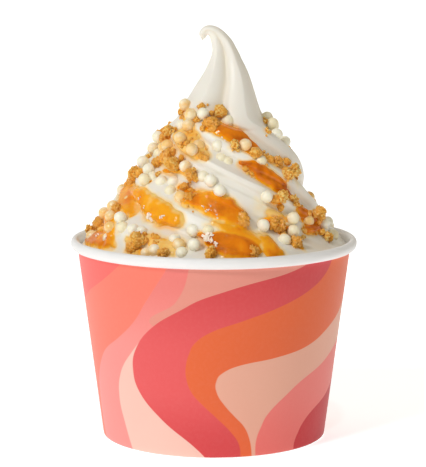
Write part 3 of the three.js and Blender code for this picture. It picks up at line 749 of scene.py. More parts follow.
def end_tree(net, geometry, material, smooth_shading=True):
    """Ends a tree: instances made real, shading smooth or faceted, the finish set."""
    real = net.node("GeometryNodeRealizeInstances", {}, {"Geometry": geometry})
    smooth = net.node("GeometryNodeSetShadeSmooth", {},
                      {"Geometry": real, "Shade Smooth": smooth_shading})
    finished = net.node("GeometryNodeSetMaterial", {}, {"Geometry": smooth, "Material": material})
    net.node("NodeGroupOutput", {}, {0: finished})
    return net.tree


def pushed(net, geometry, way, rise):
    """Moves a surface along a direction."""
    offset = net.node("ShaderNodeVectorMath", {"operation": "SCALE"}, {0: way, "Scale": rise})
    return net.node("GeometryNodeSetPosition", {}, {"Geometry": geometry, "Offset": offset})


# ---------------------------------------------------------------- paper cup

# Edges between the print's bands from left to right round the cup, each with the colours that
# start there, one for the whole band or one each for foot, middle and rim: azimuths in degrees at
# heights in millimetres
PRINT_BASE = "orange"
PRINT_EDGES = [
    ("crimson", [(0, -172), (20, -164), (42, -146), (63, -135)]),
    ("coral", [(0, -150), (15, -140), (35, -121), (50, -112), (63, -100)]),
    ("salmon", [(0, -112), (28, -103), (38, -95), (45, -84), (51, -69), (56, -55), (63, -41)]),
    ("pink pink rose", [(0, -73), (8, -75), (16, -74), (22, -71), (28, -65), (33, -58), (38, -47),
                        (44, -37), (51, -30), (63, -19)]),
    ("peach", [(0, -45), (8, -48.5), (17, -51), (26, -48), (35, -38), (44, -26), (52, -15),
               (63, -9)]),
    ("blush", [(0, 20), (38, 0), (43, -22.5), (44, -27.5), (52, -16), (63, -10)]),
    # Garnet at the foot and the rim: the print's deep red with painted shade
    ("garnet crimson garnet", [(0, -4), (4, -10), (12, -25), (21, -37), (28, -39.5), (35, -37),
                               (44, -26), (50, -13), (53, -6), (55.5, 3), (58, 14), (61, 32),
                               (63.4, 42)]),
    ("orange", [(0, 13), (5, 12), (9, 8), (14, 1), (18, -5), (22, -10), (27, -12.5), (31, -12.5),
                (35, -11), (39, -8), (43, 0), (46, 12), (50, 29), (54, 43), (58, 52), (63, 57)]),
    ("apricot", [(0, 19), (7, 17), (11, 14), (14, 10), (18, 5), (22, 1.5), (26, 1), (29, 4),
                 (31.4, 12), (33, 28), (35, 44), (40, 62), (46, 80), (54, 98), (63, 112)]),
    # Brick at the foot: print with painted shade, darker towards the foot
    ("brick rose rose", [(0, 21), (6, 21), (10, 23), (14, 26), (20, 36), (24, 45), (28, 60),
                         (31, 70), (35, 86), (46, 110), (63, 128)]),
    ("claret", [(0, 44), (3, 44), (6, 46), (9, 49), (12, 55), (16, 70), (22, 88), (32, 106),
                 (46, 124), (63, 141)]),
    ("salmon", [(0, 84), (8, 88), (18, 104), (32, 122), (46, 137), (63, 153)]),
    ("peach", [(0, 112), (12, 122), (26, 134), (44, 150), (63, 164)]),
    ("rose", [(0, 140), (20, 150), (40, 163), (63, 173)]),
]
# Degrees over which one band turns into the next
EDGE_SOFTNESS = 0.5
CUP_COLUMNS = 192
WALL_STEPS = 44
INSIDE_HEIGHTS = (64.5, 63, 60, 40, 20)
BEAD_STEPS = 26
BEAD_ARC = (-118, 180)
# Waves of the bead: size, number round the rim, start
BEAD_WAVES = ((0.04, 3, 1), (0.03, 7, 0))
# The recessed base, the doubled wall round it and the roundings of their edges
BASE_HEIGHT = 4.4
BASE_ROUNDING = 0.6
FOOT_WALL = 1.2
FOOT_EDGE = 0.35
SHARP_ANGLE = 50
# The glued overlap: its start, how far it stands out, the width of its edge in degrees, and the
# extra columns across it
SEAM_AZIMUTH = 180
SEAM_THICKNESS = 0.36
SEAM_EDGE = 0.35
SEAM_COLUMNS = (0.05, 0.35, 2.5, 5, 7.5, 9.9)


def printed_paper(settings):
    """Coated paper with flowing bands of flat colour; some bands deepen at the foot or the rim, partly
    with painted shade.
    """
    net, place = new_finish("printed_paper")
    x, y, z = net.axes(place)
    height = z / (CUP_HEIGHT * MM)
    around = net.node("ShaderNodeMath", {"operation": "ARCTAN2"}, {0: x, 1: 0 - y})
    share = around / (2 * math.pi) + 0.5
    bands = getattr(settings, PRINT_BASE)
    for colors, edge in PRINT_EDGES:
        foot, middle, rim = [getattr(settings, name) for name in (colors.split() * 3)[:3]]
        # A band's foot and rim colours; garnet and brick there carry painted shade as well as print
        tone = net.mix(net.ramp(height, 0.05, 0.35), foot, middle)
        tone = net.mix(net.ramp(height, 0.5, 0.9), tone, rim)
        points = [(rise / CUP_HEIGHT, (azimuth + 180) / 360) for rise, azimuth in edge]
        line = net.node("ShaderNodeFloatCurve", {"points": points}, {"Value": height})
        inside = ((share - line) * (360 / EDGE_SOFTNESS) + 0.5).clamped()
        bands = net.mix(inside, bands, tone)
    ink = net.mix(net.ramp(net.noise(place, 900.0, 3.0), 0.35, 0.8) * 0.012, bands, settings.fleck)
    ink = net.mix(net.ramp(net.noise(place, 60.0), 0.4, 0.7) * 0.02, ink, settings.cloud)
    fibre = net.noise(place, 2600.0, 3.0)
    board = net.noise(place, 140.0, 1.0)
    normal = net.bump(fibre, 0.00003, 0.35, net.bump(board, 0.00016, 0.25))
    return finish_surface(net, ink, 0.42 + fibre * 0.14,
                          {"Normal": normal, "Specular IOR Level": 0.3, "Coat Weight": 0.04,
                           "Coat Roughness": 0.3})


def white_paper(settings):
    """Unprinted coated paper of the rim, the inside and the base."""
    net, place = new_finish("white_paper")
    fibre = net.noise(place, 2200.0, 4.0)
    cloud = net.noise(place, 90.0)
    tone = net.mix(net.ramp(cloud, 0.35, 0.75) * 0.5, settings.white, darker(settings.white, 0.955))
    normal = net.bump(fibre, 0.00004, 0.4, net.bump(cloud, 0.0002, 0.3))
    return finish_surface(net, tone, 0.46 + fibre * 0.12, {"Normal": normal},
                          (0.06, (0.002, 0.0018, 0.0016)))


def cup_profile():
    """Radius, height and whether the stretch after each point carries the print."""
    base = wall_radius(BASE_HEIGHT) - FOOT_WALL
    foot = FOOT_RADIUS - FOOT_WALL
    floor = BASE_HEIGHT + PAPER
    below = [(0, BASE_HEIGHT), (base - 1, BASE_HEIGHT), (base, BASE_HEIGHT - BASE_ROUNDING),
             (foot, FOOT_EDGE), (foot + FOOT_EDGE, 0), (FOOT_RADIUS - FOOT_EDGE, 0),
             (FOOT_RADIUS - 0.1, 0.1)]
    wall = FOOT_EDGE + (WALL_TOP - FOOT_EDGE) * np.arange(WALL_STEPS) / WALL_STEPS
    above = [(wall_radius(WALL_TOP - 0.05), WALL_TOP - 0.05)]
    for angle in np.radians(np.linspace(*BEAD_ARC, BEAD_STEPS + 1)):
        above.append((BEAD_CENTRE[0] + math.cos(angle) * BEAD_WIDTH / 2,
                      BEAD_CENTRE[1] + math.sin(angle) * BEAD_HEIGHT / 2))
    above += [(wall_radius(height) - PAPER, height) for height in (*INSIDE_HEIGHTS, floor + 0.5)]
    above += [(wall_radius(floor) - PAPER - BASE_ROUNDING, floor), (0, floor)]
    return ([(*point, False) for point in below]
            + [(wall_radius(height), height, True) for height in wall]
            + [(*point, False) for point in above])


def seam_rise(azimuth, seam_width):
    """How far the glued overlap stands out of the wall at an azimuth."""
    degrees = math.degrees(seam_width / MM / MOUTH_RADIUS)
    past = (azimuth - SEAM_AZIMUTH + 180) % 360 - 180
    rise = np.clip(1 - past / degrees, 0, 1) * np.clip(past / SEAM_EDGE, 0, 1)
    return SEAM_THICKNESS * np.where(past > 0, rise, 0)


class FroyoMakeCup(bpy.types.Operator):
    """Make the paper cup with its rolled rim, seam, recessed base and print"""
    bl_idname = "froyo.make_cup"
    bl_label = "Paper cup"

    def execute(self, context):
        settings = context.scene.froyo_cup
        bottom, *outline, inside = cup_profile()
        seam = np.array(SEAM_COLUMNS) + SEAM_AZIMUTH
        azimuths = np.unique(np.concatenate([360 * np.arange(CUP_COLUMNS) / CUP_COLUMNS, seam]))
        angle = np.radians(azimuths)
        wave = sum(size * np.sin(count * angle + start) for size, count, start in BEAD_WAVES)
        overlap = seam_rise(azimuths, settings.seam_width)
        rings = []
        for radius, height, printed in outline:
            reach = radius + overlap * printed + wave * (height > WALL_TOP)
            rings.append(outward(azimuths) * reach[:, None] + (0, 0, height))
        points = np.concatenate([*rings, [(0, 0, bottom[1]), (0, 0, inside[1])]])
        columns = len(azimuths)
        faces = shell_faces(len(rings), columns)
        cup = mesh_piece("paper_cup", points, faces, white_paper(settings))
        cup.data.materials.append(printed_paper(settings))
        marks = np.zeros(len(faces), dtype=int)
        marks[:len(rings) * columns] = np.repeat([printed for _, _, printed in outline], columns)
        cup.data.polygons.foreach_set("material_index", marks)
        cup.data.set_sharp_from_angle(angle=math.radians(SHARP_ANGLE))
        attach(cup, "root")
        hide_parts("cup")
        return {"FINISHED"}


# ---------------------------------------------------------------- yogurt

HEAP_ROWS = 150
PEAK_ROWS = 84
COLUMN_DEGREES = 0.95
CREASE_EASING = 12
GRAIN_SCALE = 900.0
# Heights of the fill's rings against the wall, and height above it, radius and relief of the
# rings that carry it over the rim
FILL_RINGS = (30, 50, 60, 62.5, FILL_HEIGHT)
RIM_RINGS = ((0.7, 44.45, 0.1), (1.4, 43.9, 0.2))
CRUMB_HALO = 1.6
SOAKED_STAIN = 0.8


def yogurt_finish(settings):
    """Dense frozen yogurt: soft light inside, a fine frozen grain, stains where sauce soaked in, and
    painted shade deep in the creases.
    """
    net, place = new_finish("frozen_yogurt_surface")
    tone = net.mix(net.ramp(net.noise(place, 160.0, 3.0), 0.3, 0.75) * 0.35, settings.light,
                   settings.cloud)
    # Painted shade: darker, warmer colour deep in the creases, placed by the stored crease share
    tone = net.mix(net.attribute("crease") * 0.8, tone, settings.crease)
    soaked = net.attribute("stain") + (net.noise(place, 420.0, 3.0) - 0.5) * 0.7
    tone = net.mix(net.ramp(soaked, 0.1, 0.6) * 0.6, tone, settings.tinted)
    tone = net.mix(net.ramp(soaked, 0.45, 1.0) * 0.8, tone, settings.stained)
    grain = net.noise(place, 1500.0, 3.0)
    pores = net.noise(place, 520.0)
    normal = net.bump(grain, 0.00003, 0.35, net.bump(pores, 0.00012, 0.25))
    return finish_surface(net, tone, 0.34 + grain * 0.16,
                          {"Normal": normal, "Specular IOR Level": 0.4},
                          (0.1, (0.0012, 0.0009, 0.0006)))


def swirl_phases():
    """Phases of the swirl's columns, closer where a rib turns sharply."""
    phases = []
    for index, (lip, crease, _, _) in enumerate(RIBS):
        above, _ = crease_above(index)
        for start, end in ((above, lip), (lip, crease)):
            steps = max(round(abs(end - start) / COLUMN_DEGREES), 4)
            phases += [start + (end - start) * step / steps for step in range(steps)]
    return np.array(phases[::-1])


def peak_sections():
    """Centre x, centre height, radius and tangent of sections up the peak."""
    last = HEAP[HEAP[:, 0] >= TILT_START]
    spine = np.concatenate([last[:, [2, 0, 1]], PEAK])
    steps = np.concatenate([[0], np.cumsum(np.linalg.norm(np.diff(spine[:, :2], axis=0), axis=1))])
    table = np.column_stack([steps, spine])
    at = np.linspace(0, steps[-1], PEAK_ROWS)
    x, z, radius = (along_table(table, at, column) for column in (1, 2, 3))
    ahead = np.minimum(at + 0.05, steps[-1])
    behind = np.maximum(at - 0.05, 0)
    tangent = np.stack([along_table(table, ahead, column) - along_table(table, behind, column)
                        for column in (1, 2)], -1)
    return x, z, radius, unit(tangent)


def swirl_rings(phases):
    """Rings of the plain heap, the ways out from its axis, the depths of the relief, its shares."""
    rings = []

    def add(centre, out, radius, height, depth):
        share = eased_creases(rib_drop(phases, height))
        rings.append((centre + out * radius, out, depth * share, share))

    def level(height, radius, lean, depth):
        azimuth = rib_azimuth(phases, max(height, HEAP[0, 0]))
        reach = radius + unevenness(azimuth, height)
        add(np.array([lean, 0, height]), outward(azimuth), reach[:, None], height, depth)

    level(FILL_LOW, wall_radius(FILL_LOW) - PAPER, 0, 0)
    for height in FILL_RINGS:
        level(height, wall_radius(height) - PAPER + 0.05, 0, 0)
    for rise, radius, depth in RIM_RINGS:
        level(FILL_HEIGHT + rise, radius, 0, depth)
    for height in np.linspace(HEAP[0, 0], TILT_START, HEAP_ROWS, endpoint=False):
        radius = float(heap_radius(height))
        lean = float(along_table(HEAP, height, 2))
        level(height, radius, lean, float(relief(radius, height)))
    flat = outward(phases + PEAK_AZIMUTH)
    for x, z, radius, tangent in zip(*peak_sections()):
        share = float(smoothstep(z, TILT_START, TILT_FULL)) if tangent[1] > 0.2 else 1
        normal = unit((1 - share) * np.array([0, 1]) + share * tangent)
        out = flat[:, :1] * (normal[1], 0, -normal[0]) + flat * (0, 1, 0)
        depth = float(relief(radius, max(z, TILT_START)))
        add(np.array([x, 0, z]), out, radius, TILT_START, depth)
    return [np.array(column) for column in zip(*rings)]


def eased_creases(share):
    """The relief with its creases rounded out and its lips kept."""
    reach = np.arange(-CREASE_EASING, CREASE_EASING + 1)
    weights = np.exp(-2 * (reach / CREASE_EASING) ** 2)
    blurred = sum(weight * np.roll(share, int(shift)) for weight, shift in zip(weights, reach))
    return np.minimum(share, blurred / weights.sum())


def swirl_tree(material):
    """Presses the ribs into the plain heap and gives it a fine frozen unevenness."""
    net, given = geometry_tree("press_ribs", {"Rib depth": "Float", "Grain": "Float",
                                              "Grain size": "Float"})
    grain = net.noise(net.node("GeometryNodeInputPosition"), given["Grain size"], 3.0)
    rise = (grain - 0.5) * given["Grain"] - net.stored("drop") * given["Rib depth"]
    way = net.stored("outward", "FLOAT_VECTOR")
    return end_tree(net, pushed(net, given["Geometry"], way, rise), material)


class FroyoMakeYogurt(bpy.types.Operator):
    """Make the frozen yogurt: the fill of the cup, the ribbed heap and the curled tip"""
    bl_idname = "froyo.make_yogurt"
    bl_label = "Frozen yogurt"

    def execute(self, context):
        settings = context.scene.froyo_yogurt
        rings, ways, drops, shares = swirl_rings(swirl_phases())
        ends = [(0, 0, FILL_LOW), (PEAK_TIP[0], 0, PEAK_TIP[1])]
        points = np.concatenate([rings.reshape(-1, 3), ends])
        material = yogurt_finish(settings)
        swirl = mesh_piece("yogurt_swirl", points, shell_faces(*drops.shape), material)
        store(swirl, "outward", np.concatenate([ways.reshape(-1, 3), [(0, 0, -1), (0, 0, -1)]]))
        store(swirl, "drop", np.append(drops, [0, 0]))
        # The crease share, cubed, that places the painted shade deep in the creases
        store(swirl, "crease", np.append(shares ** 3, [0, 0]))
        store(swirl, "stain", soak(points, context.scene.froyo_toppings))
        through_nodes(swirl, swirl_tree(material),
                      {"Rib depth": settings.rib_depth, "Grain": settings.grain,
                       "Grain size": GRAIN_SCALE})
        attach(swirl, "root")
        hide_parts("frozen_yogurt")
        return {"FINISHED"}


def soak(points, toppings):
    """How far sauce and crumbs have stained the yogurt at each point."""
    stain = np.zeros(len(points))
    spots = [(azimuth, height, radius + CRUMB_HALO, 1)
             for azimuth, height, radius, _ in strewn_toppings(toppings)[1]]
    spots += [(*spot, SOAKED_STAIN) for spot in SOAKED]
    for azimuth, height, reach, most in spots:
        gap = np.linalg.norm(points - surface_point(azimuth, height), axis=1)
        stain = np.maximum(stain, most - most * gap / reach)
    low, high = SAUCE_HEIGHTS
    near = (points[:, 2] > low) & (points[:, 2] < high + 3)
    x, y, z = points[near].T
    azimuth = np.degrees(np.arctan2(x - along_table(HEAP, z, 2), -y))
    inside, _, _ = sauce_field(azimuth, z)
    stain[near] = np.maximum(stain[near], np.clip(1 + inside / SAUCE_HALO, 0, 1) ** 1.5)
    return np.clip(stain, 0, 1)


# ---------------------------------------------------------------- caramel sauce

SAUCE_AZIMUTH_STEP = 0.7
SAUCE_HEIGHT_STEP = 0.4
SAUCE_HEIGHTS = (64.6, 108)
SAUCE_INSET = 0.15
SAUCE_JOINING = 2.4
SAUCE_EDGE_BLUR = 1.2
FAR_OUTSIDE = -50.0
SAUCE_ROUNDING = 2
SAUCE_HALO = 2
SAUCE_SKIRT = 0.45
SAUCE_BED = 0.9
CREASE_FILL = 0.6


def sauce_finish(settings):
    """Glossy caramel: yellow where thin, deep orange where it fills a crease."""
    net, place = new_finish("caramel_sauce")
    depth = net.attribute("depth")
    pools = net.noise(place, 170.0) - 0.5
    streaks = net.noise(place, 330.0, 3.0) - 0.5
    body = depth * (1 + pools * 2) + pools * 0.35 + streaks * 0.25
    tone = net.mix(net.ramp(body, 0.0, 0.16), settings.edge, settings.thin)
    tone = net.mix(net.ramp(body, 0.14, 0.5), tone, settings.middle)
    tone = net.mix(net.ramp(body, 0.45, 1.0), tone, settings.deep)
    normal = net.bump(net.noise(place, 420.0), 0.0007, 0.5)
    return finish_surface(net, tone, 0.05,
                          {"Normal": normal, "IOR": 1.45, "Specular IOR Level": 0.35},
                          (0.15, (0.0016, 0.0006, 0.0001)))


def all_strokes():
    """Every stroke's thickness and depth of colour, its points on the plain heap, half widths."""
    strokes = []
    for thickness, tone, stroke in SAUCE_STROKES + THIN_SAUCE:
        azimuth, height, half = np.array(stroke, float).T
        strokes.append((thickness, tone, plain_point(azimuth, height), half))
    for rib, first, last, half, thickness, tone in BACK_SAUCE:
        azimuth = np.linspace(first, last, len(BACK_TAPER))
        lip = RIBS[rib][0]
        phase = lip + BACK_LEDGE_SHARE * (crease_above(rib)[0] - lip)
        height = np.clip(rib_height(phase, azimuth), *BACK_HEIGHTS)
        strokes.append((thickness, tone, plain_point(azimuth, height), BACK_TAPER * half))
    return strokes


def sauce_reach(points):
    """How far inside the sauce points of the plain heap lie, its thickness and colour there."""
    shape = points.shape[:-1]
    inside = np.full(shape, FAR_OUTSIDE)
    weight = np.full(shape, 1e-9)
    thick = np.zeros(shape)
    tint = np.zeros(shape)
    for thickness, tone, line, half in all_strokes():
        nearest = np.full(shape, FAR_OUTSIDE)
        for index in range(len(line) - 1):
            along = line[index + 1] - line[index]
            share = np.clip(((points - line[index]) @ along) / (along @ along), 0, 1)
            away = np.linalg.norm(points - line[index] - share[..., None] * along, axis=-1)
            reach = half[index] + (half[index + 1] - half[index]) * share - away
            nearest = np.maximum(nearest, reach)
        blend = np.clip(0.5 + (nearest - inside) / SAUCE_JOINING, 0, 1)
        bulge = SAUCE_JOINING / 4 * blend * (1 - blend)
        inside = inside + (nearest - inside) * blend + bulge
        share = smoothstep(nearest, -SAUCE_EDGE_BLUR, SAUCE_EDGE_BLUR)
        weight += share
        thick += share * thickness
        tint += share * tone
    return inside, thick / weight, tint / weight


def uneven_edge(points):
    """Waves, in millimetres, that make the edges of the sauce uneven."""
    x, y, z = np.moveaxis(points, -1, 0)
    wave = np.sin(x * 0.9 + 2 * np.sin(z * 0.7)) * np.sin(z * 1.3 + 1.5 * np.sin(y * 0.8))
    return 0.25 * wave + 0.12 * np.sin(2.1 * x + 1.7 * z) * np.sin(1.9 * y - 1.3 * z)


def sauce_field(azimuth, height):
    points = plain_point(azimuth, height)
    inside, thickness, tint = sauce_reach(points)
    return inside + uneven_edge(points) - SAUCE_INSET, thickness, tint


def closed_sheet(top, bottom, kept):
    """Faces of a closed shell: kept cells of a grid round the heap, above, below and at the edge."""
    rows, columns = top.shape[:2]
    kept = kept.copy()
    for _ in range(3):
        right = np.roll(kept, -1, 1)
        joined = kept[:-1] & right[1:] & ~kept[1:] & ~right[:-1]
        kept[1:] |= joined
        crossed = ~kept[:-1] & ~right[1:] & kept[1:] & right[:-1]
        kept[:-1] |= crossed
    count = rows * columns
    row, column = np.nonzero(kept)
    after = (column + 1) % columns
    corners = [row * columns + column, row * columns + after,
               (row + 1) * columns + after, (row + 1) * columns + column]
    faces = [np.stack(corners, -1), np.stack(corners[::-1], -1) + count]
    padded = np.pad(kept, ((1, 1), (0, 0)))
    open_low = ~padded[:-2][row, column]
    open_high = ~padded[2:][row, column]
    open_left = ~np.roll(kept, 1, 1)[row, column]
    open_right = ~np.roll(kept, -1, 1)[row, column]
    for first, second, bare in ((0, 1, open_low), (1, 2, open_right), (2, 3, open_high),
                                (3, 0, open_left)):
        one, two = corners[first][bare], corners[second][bare]
        faces.append(np.stack([two, one, one + count, two + count], -1))
    faces = np.concatenate(faces)
    used, compact = np.unique(faces, return_inverse=True)
    points = np.concatenate([top.reshape(-1, 3), bottom.reshape(-1, 3)])[used]
    return points, compact.reshape(-1, 4).tolist(), used


def sauce_top(azimuth, height, thickness_scale):
    """Top of the sauce, how far inside its edge each point lies, its lift and depth of colour."""
    inside, thickness, tint = sauce_field(azimuth, height)
    rounding = np.clip(inside / SAUCE_ROUNDING, 0, 1)
    lift = thickness * thickness_scale * (1 - (1 - rounding) ** 2)
    lift = np.where(inside < 0, np.maximum(inside, -SAUCE_SKIRT), lift)
    fill = CREASE_FILL * smoothstep(inside, 0, SAUCE_ROUNDING)
    drop = rib_drop(rib_phase(azimuth, height), height)
    pool = tint + 0.25 * (np.maximum(lift, 0) - 0.8) + 0.35 * (fill * drop - 0.2)
    depth = np.maximum(pool, 0.04) * smoothstep(inside, -0.6, 1.6)
    return surface_point(azimuth, height, lift, fill), inside, lift, depth


class FroyoMakeSauce(bpy.types.Operator):
    """Make the pools of caramel sauce on the ledges of the ribs and the thin glaze between them"""
    bl_idname = "froyo.make_sauce"
    bl_label = "Caramel sauce"

    def execute(self, context):
        settings = context.scene.froyo_sauce
        azimuth = np.arange(-180, 180, SAUCE_AZIMUTH_STEP)[None, :]
        height = np.arange(*SAUCE_HEIGHTS, SAUCE_HEIGHT_STEP)[:, None]
        top, inside, lift, depth = sauce_top(azimuth, height, settings.thickness / MM)
        bed = surface_point(azimuth, height, np.minimum(lift, 0) - SAUCE_BED)
        wet = inside > -SAUCE_SKIRT
        near = wet[:-1] | wet[1:]
        near = near | np.roll(near, -1, 1)
        points, faces, used = closed_sheet(top, bed, near)
        sauce = mesh_piece("caramel_sauce", points, faces, sauce_finish(settings))
        store(sauce, "depth", np.tile(depth.ravel(), 2)[used])
        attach(sauce, "root")
        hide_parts("frozen_yogurt")
        return {"FINISHED"}


# ---------------------------------------------------------------- pearls, crumbs, grit, salt

# Detail of each kind, the bend of the whole lump, and the height and scale of its grains
CRUMB_KINDS = {
    "biscuit_crumbs": {"Detail": 4, "Shape": 0.0026, "Lumps": 0.0011, "Lump size": 1450.0},
    "biscuit_bits": {"Detail": 3, "Shape": 0.0012, "Lumps": 0.0005, "Lump size": 1700.0},
    "biscuit_grit": {"Detail": 2, "Shape": 0.0005, "Lumps": 0.0002, "Lump size": 1600.0},
}
CRUMB_SQUASH = 0.15
BEND_SCALE = 330.0
STIR_SCALE = 900.0
STIR_REACH = 0.0012
# Bits on a crumb: how many, and their distance, radius and sink as shares of a radius
BIT_COUNT = (2, 5)
BIT_AWAY = (0.75, 1.15)
BIT_SIZE = (0.25, 0.5)
BIT_SINK = (-0.2, 0.6)
GRIT_HEIGHTS = (66, 113)
GRIT_SPREAD = 0.8
GRIT_SIZE = (0.22, 0.55)
GRIT_STRAY = (0.8, 1.3)
GRIT_SINK = 0.2
PEARL_SQUASH = 0.03
PEARL_FORM = {"Detail": 4, "Unevenness": 0.00025, "Spread": 260.0}
SALT_SQUASH = 0.35
SALT_LIFT = 0.35
SALT_FORM = {"Detail": 3, "Unevenness": 0.0006, "Spread": 1400.0}
SALT_SHARES = (0.5, 1.1)
# Spread of a cluster in millimetres, and what each of its flakes adds
SALT_SPREAD = 0.35
SALT_SPREAD_EACH = 0.045
FLAKE_SIZE = (1.7, 1.5, 0.8)
# Azimuth, height and number of the flakes in each cluster of salt, and their size
SALT_CLUSTERS = [
    (-37, 76.8, 6, 0.75), (-27.5, 77.8, 3, 0.8), (-59, 69, 3, 0.7), (-1.5, 71.4, 15, 0.85),
    (1.5, 69.6, 4, 0.7), (-3, 79.7, 5, 0.55), (-7, 81, 2, 0.5), (2, 78, 2, 0.55),
    (4, 101.5, 2, 0.6), (1, 102.6, 2, 0.45), (-51, 82.5, 3, 0.4), (-43, 80, 2, 0.4),
    (-70, 68.5, 3, 0.5), (206, 75, 6, 0.7), (150, 77, 5, 0.7), (128, 79, 6, 0.7),
]


def topping_points(name, pieces, squash):
    """A mesh of loose points, one for each piece, with its size, its turn and its glaze."""
    azimuth, height, radius, sink = np.array(pieces, float).T
    normal = surface_normal(azimuth, height)
    centre = surface_point(azimuth, height) + normal * (radius - sink)[:, None]
    inside, _, _ = sauce_field(azimuth, height)
    return loose_points(name, centre, radius, inside, squash)


def loose_points(name, centre, radius, inside, squash):
    """Loose points clear of the rim, glazed where they lie inside the sauce."""
    draw = np.random.default_rng(SEED)
    kept = np.array([clear_of_rim(spot, size) for spot, size in zip(centre, radius)])
    centre, radius, inside = centre[kept], radius[kept], inside[kept]
    mesh = bpy.data.meshes.new(name)
    mesh.from_pydata((centre * MM).tolist(), [], [])
    piece = linked(name, mesh)
    uneven = draw.uniform(1 - squash, 1 + squash, (len(centre), 3))
    store(piece, "size", radius[:, None] * MM * uneven)
    store(piece, "turn", draw.uniform(0, 2 * math.pi, (len(centre), 3)))
    store(piece, "glaze", np.clip(0.5 + inside / 2, 0, 1))
    store(piece, "shade", draw.uniform(0, 1, len(centre)))
    return piece


def pearl_finish(settings):
    """White chocolate with a satin glaze, amber where sauce has run over it."""
    net, place = new_finish("white_chocolate")
    cloud = net.noise(place, 700.0, 3.0)
    tone = net.mix(net.ramp(cloud, 0.35, 0.7) * 0.5, settings.pearl, settings.pearl_cloud)
    tone = net.mix(net.ramp(net.attribute("shade"), 0.3, 1.0) * 0.7, tone, settings.cream)
    drip = net.ramp(net.attribute("glaze") + (net.noise(place, 300.0) - 0.5) * 1.6, 0.4, 1.2)
    tone = net.mix(drip * 0.9, tone, settings.honey)
    roughness = 0.3 + net.noise(place, 2600.0) * 0.2 - drip * 0.25
    return finish_surface(net, tone, roughness, {"Normal": net.bump(cloud, 0.00015, 0.4)},
                          (0.15, (0.0015, 0.0013, 0.0007)))


def crumb_finish(settings):
    """Baked biscuit: golden crust, paler raised grains with a painted highlight, hollows darkened with
    painted shade, amber where glazed.
    """
    net, place = new_finish("baked_crumb")
    lump = net.attribute("lump")
    grains = net.noise(place, 1300.0, 4.0, 0.7)
    speck = grains - 0.5
    patch = net.noise(place, 260.0) - 0.5
    # Painted shade in the hollows and painted highlight on the raised grains, broken by random specks
    # and patches
    tone = net.mix(net.ramp(lump + speck * 0.8, 0.15, 0.55), settings.crumb_dark, settings.crust)
    tone = net.mix(net.ramp(lump + patch * 1.3 + speck * 1.8, 0.4, 0.85), tone,
                   settings.crumb_light)
    tone = net.mix(net.attribute("shade") * 0.35, tone, settings.amber)
    wet = net.ramp(net.attribute("glaze") + patch * 1.5, 0.35, 1.0)
    tone = net.mix(wet * 0.75, tone, settings.amber)
    return finish_surface(net, tone, 0.55 + grains * 0.25 - wet * 0.35,
                          {"Normal": net.bump(grains, 0.0005, 0.9), "Coat Weight": wet * 0.5,
                           "Coat Roughness": 0.12}, (0.08, (0.001, 0.0005, 0.0002)))


def salt_finish(settings):
    """Pale, glassy salt crystals."""
    net, place = new_finish("salt_crystal")
    cloud = net.noise(place, 1800.0)
    tone = net.mix(cloud, settings.salt, settings.salt_cloud)
    return finish_surface(net, tone, 0.18 + cloud * 0.2, {})


def scattered(net, given, shape):
    """One shape at each point, turned and sized as stored there, made real."""
    places = net.node("GeometryNodeInstanceOnPoints", {},
                      {"Points": given["Geometry"], "Instance": shape,
                       "Rotation": net.stored("turn", "FLOAT_VECTOR"),
                       "Scale": net.stored("size", "FLOAT_VECTOR")})
    return net.node("GeometryNodeRealizeInstances", {}, {"Geometry": places})


def ball(net, given):
    return net.node("GeometryNodeMeshIcoSphere", {}, {"Radius": 1.0, "Subdivisions": given["Detail"]})


def flake(net, given):
    return net.node("GeometryNodeMeshCube", {},
                    {"Size": FLAKE_SIZE, "Vertices X": given["Detail"],
                     "Vertices Y": given["Detail"], "Vertices Z": 2})


def uneven_tree(name, shape, material, smooth_shading):
    """A slightly uneven shape at each point."""
    net, given = geometry_tree(name, {"Detail": "Int", "Unevenness": "Float", "Spread": "Float"})
    wave = net.noise(net.node("GeometryNodeInputPosition"), given["Spread"], 1.0) - 0.5
    rise = wave * given["Unevenness"]
    normal = net.node("GeometryNodeInputNormal")
    pieces = pushed(net, scattered(net, given, shape(net, given)), normal, rise)
    return end_tree(net, pieces, material, smooth_shading)


def crumb_tree(material):
    """A craggy lump at each point, no two alike, with the height of its grains stored on it."""
    net, given = geometry_tree("place_crumbs", {"Detail": "Int", "Shape": "Float",
                                                "Lumps": "Float", "Lump size": "Float"})
    spot = net.node("GeometryNodeInputPosition")
    normal = net.node("GeometryNodeInputNormal")
    bend = (net.noise(spot, BEND_SCALE) - 0.5) * given["Shape"]
    bent = pushed(net, scattered(net, given, ball(net, given)), normal, bend)
    stir = net.node("ShaderNodeTexNoise", {}, {"Vector": spot, "Scale": STIR_SCALE}, "Color")
    stirred = net.node("ShaderNodeVectorMath", {"operation": "MULTIPLY_ADD"},
                       {0: stir, 1: (STIR_REACH,) * 3, 2: spot})
    cells = net.node("ShaderNodeTexVoronoi", {"feature": "F1"},
                     {"Vector": stirred, "Scale": given["Lump size"]})
    grains = net.noise(spot, given["Lump size"] * 1.6, 3.0, 0.6)
    high = ((1 - cells * 1.15) * 0.85 + (grains - 0.5) * 1.4 + 0.1).clamped()
    # The grains' height, kept for the shape and for the finish's painted shade and highlight
    kept = net.node("GeometryNodeStoreNamedAttribute", {"data_type": "FLOAT", "domain": "POINT"},
                    {"Geometry": bent, "Name": "lump", "Value": high})
    rise = (net.stored("lump") - 0.5) * given["Lumps"]
    return end_tree(net, pushed(net, kept, normal, rise), material)


def round_about(place, spread, draw):
    """A place on the heap a few millimetres from another one."""
    azimuth, height = place
    return azimuth + degrees_round(spread * draw.normal(), height), height + spread * draw.normal()


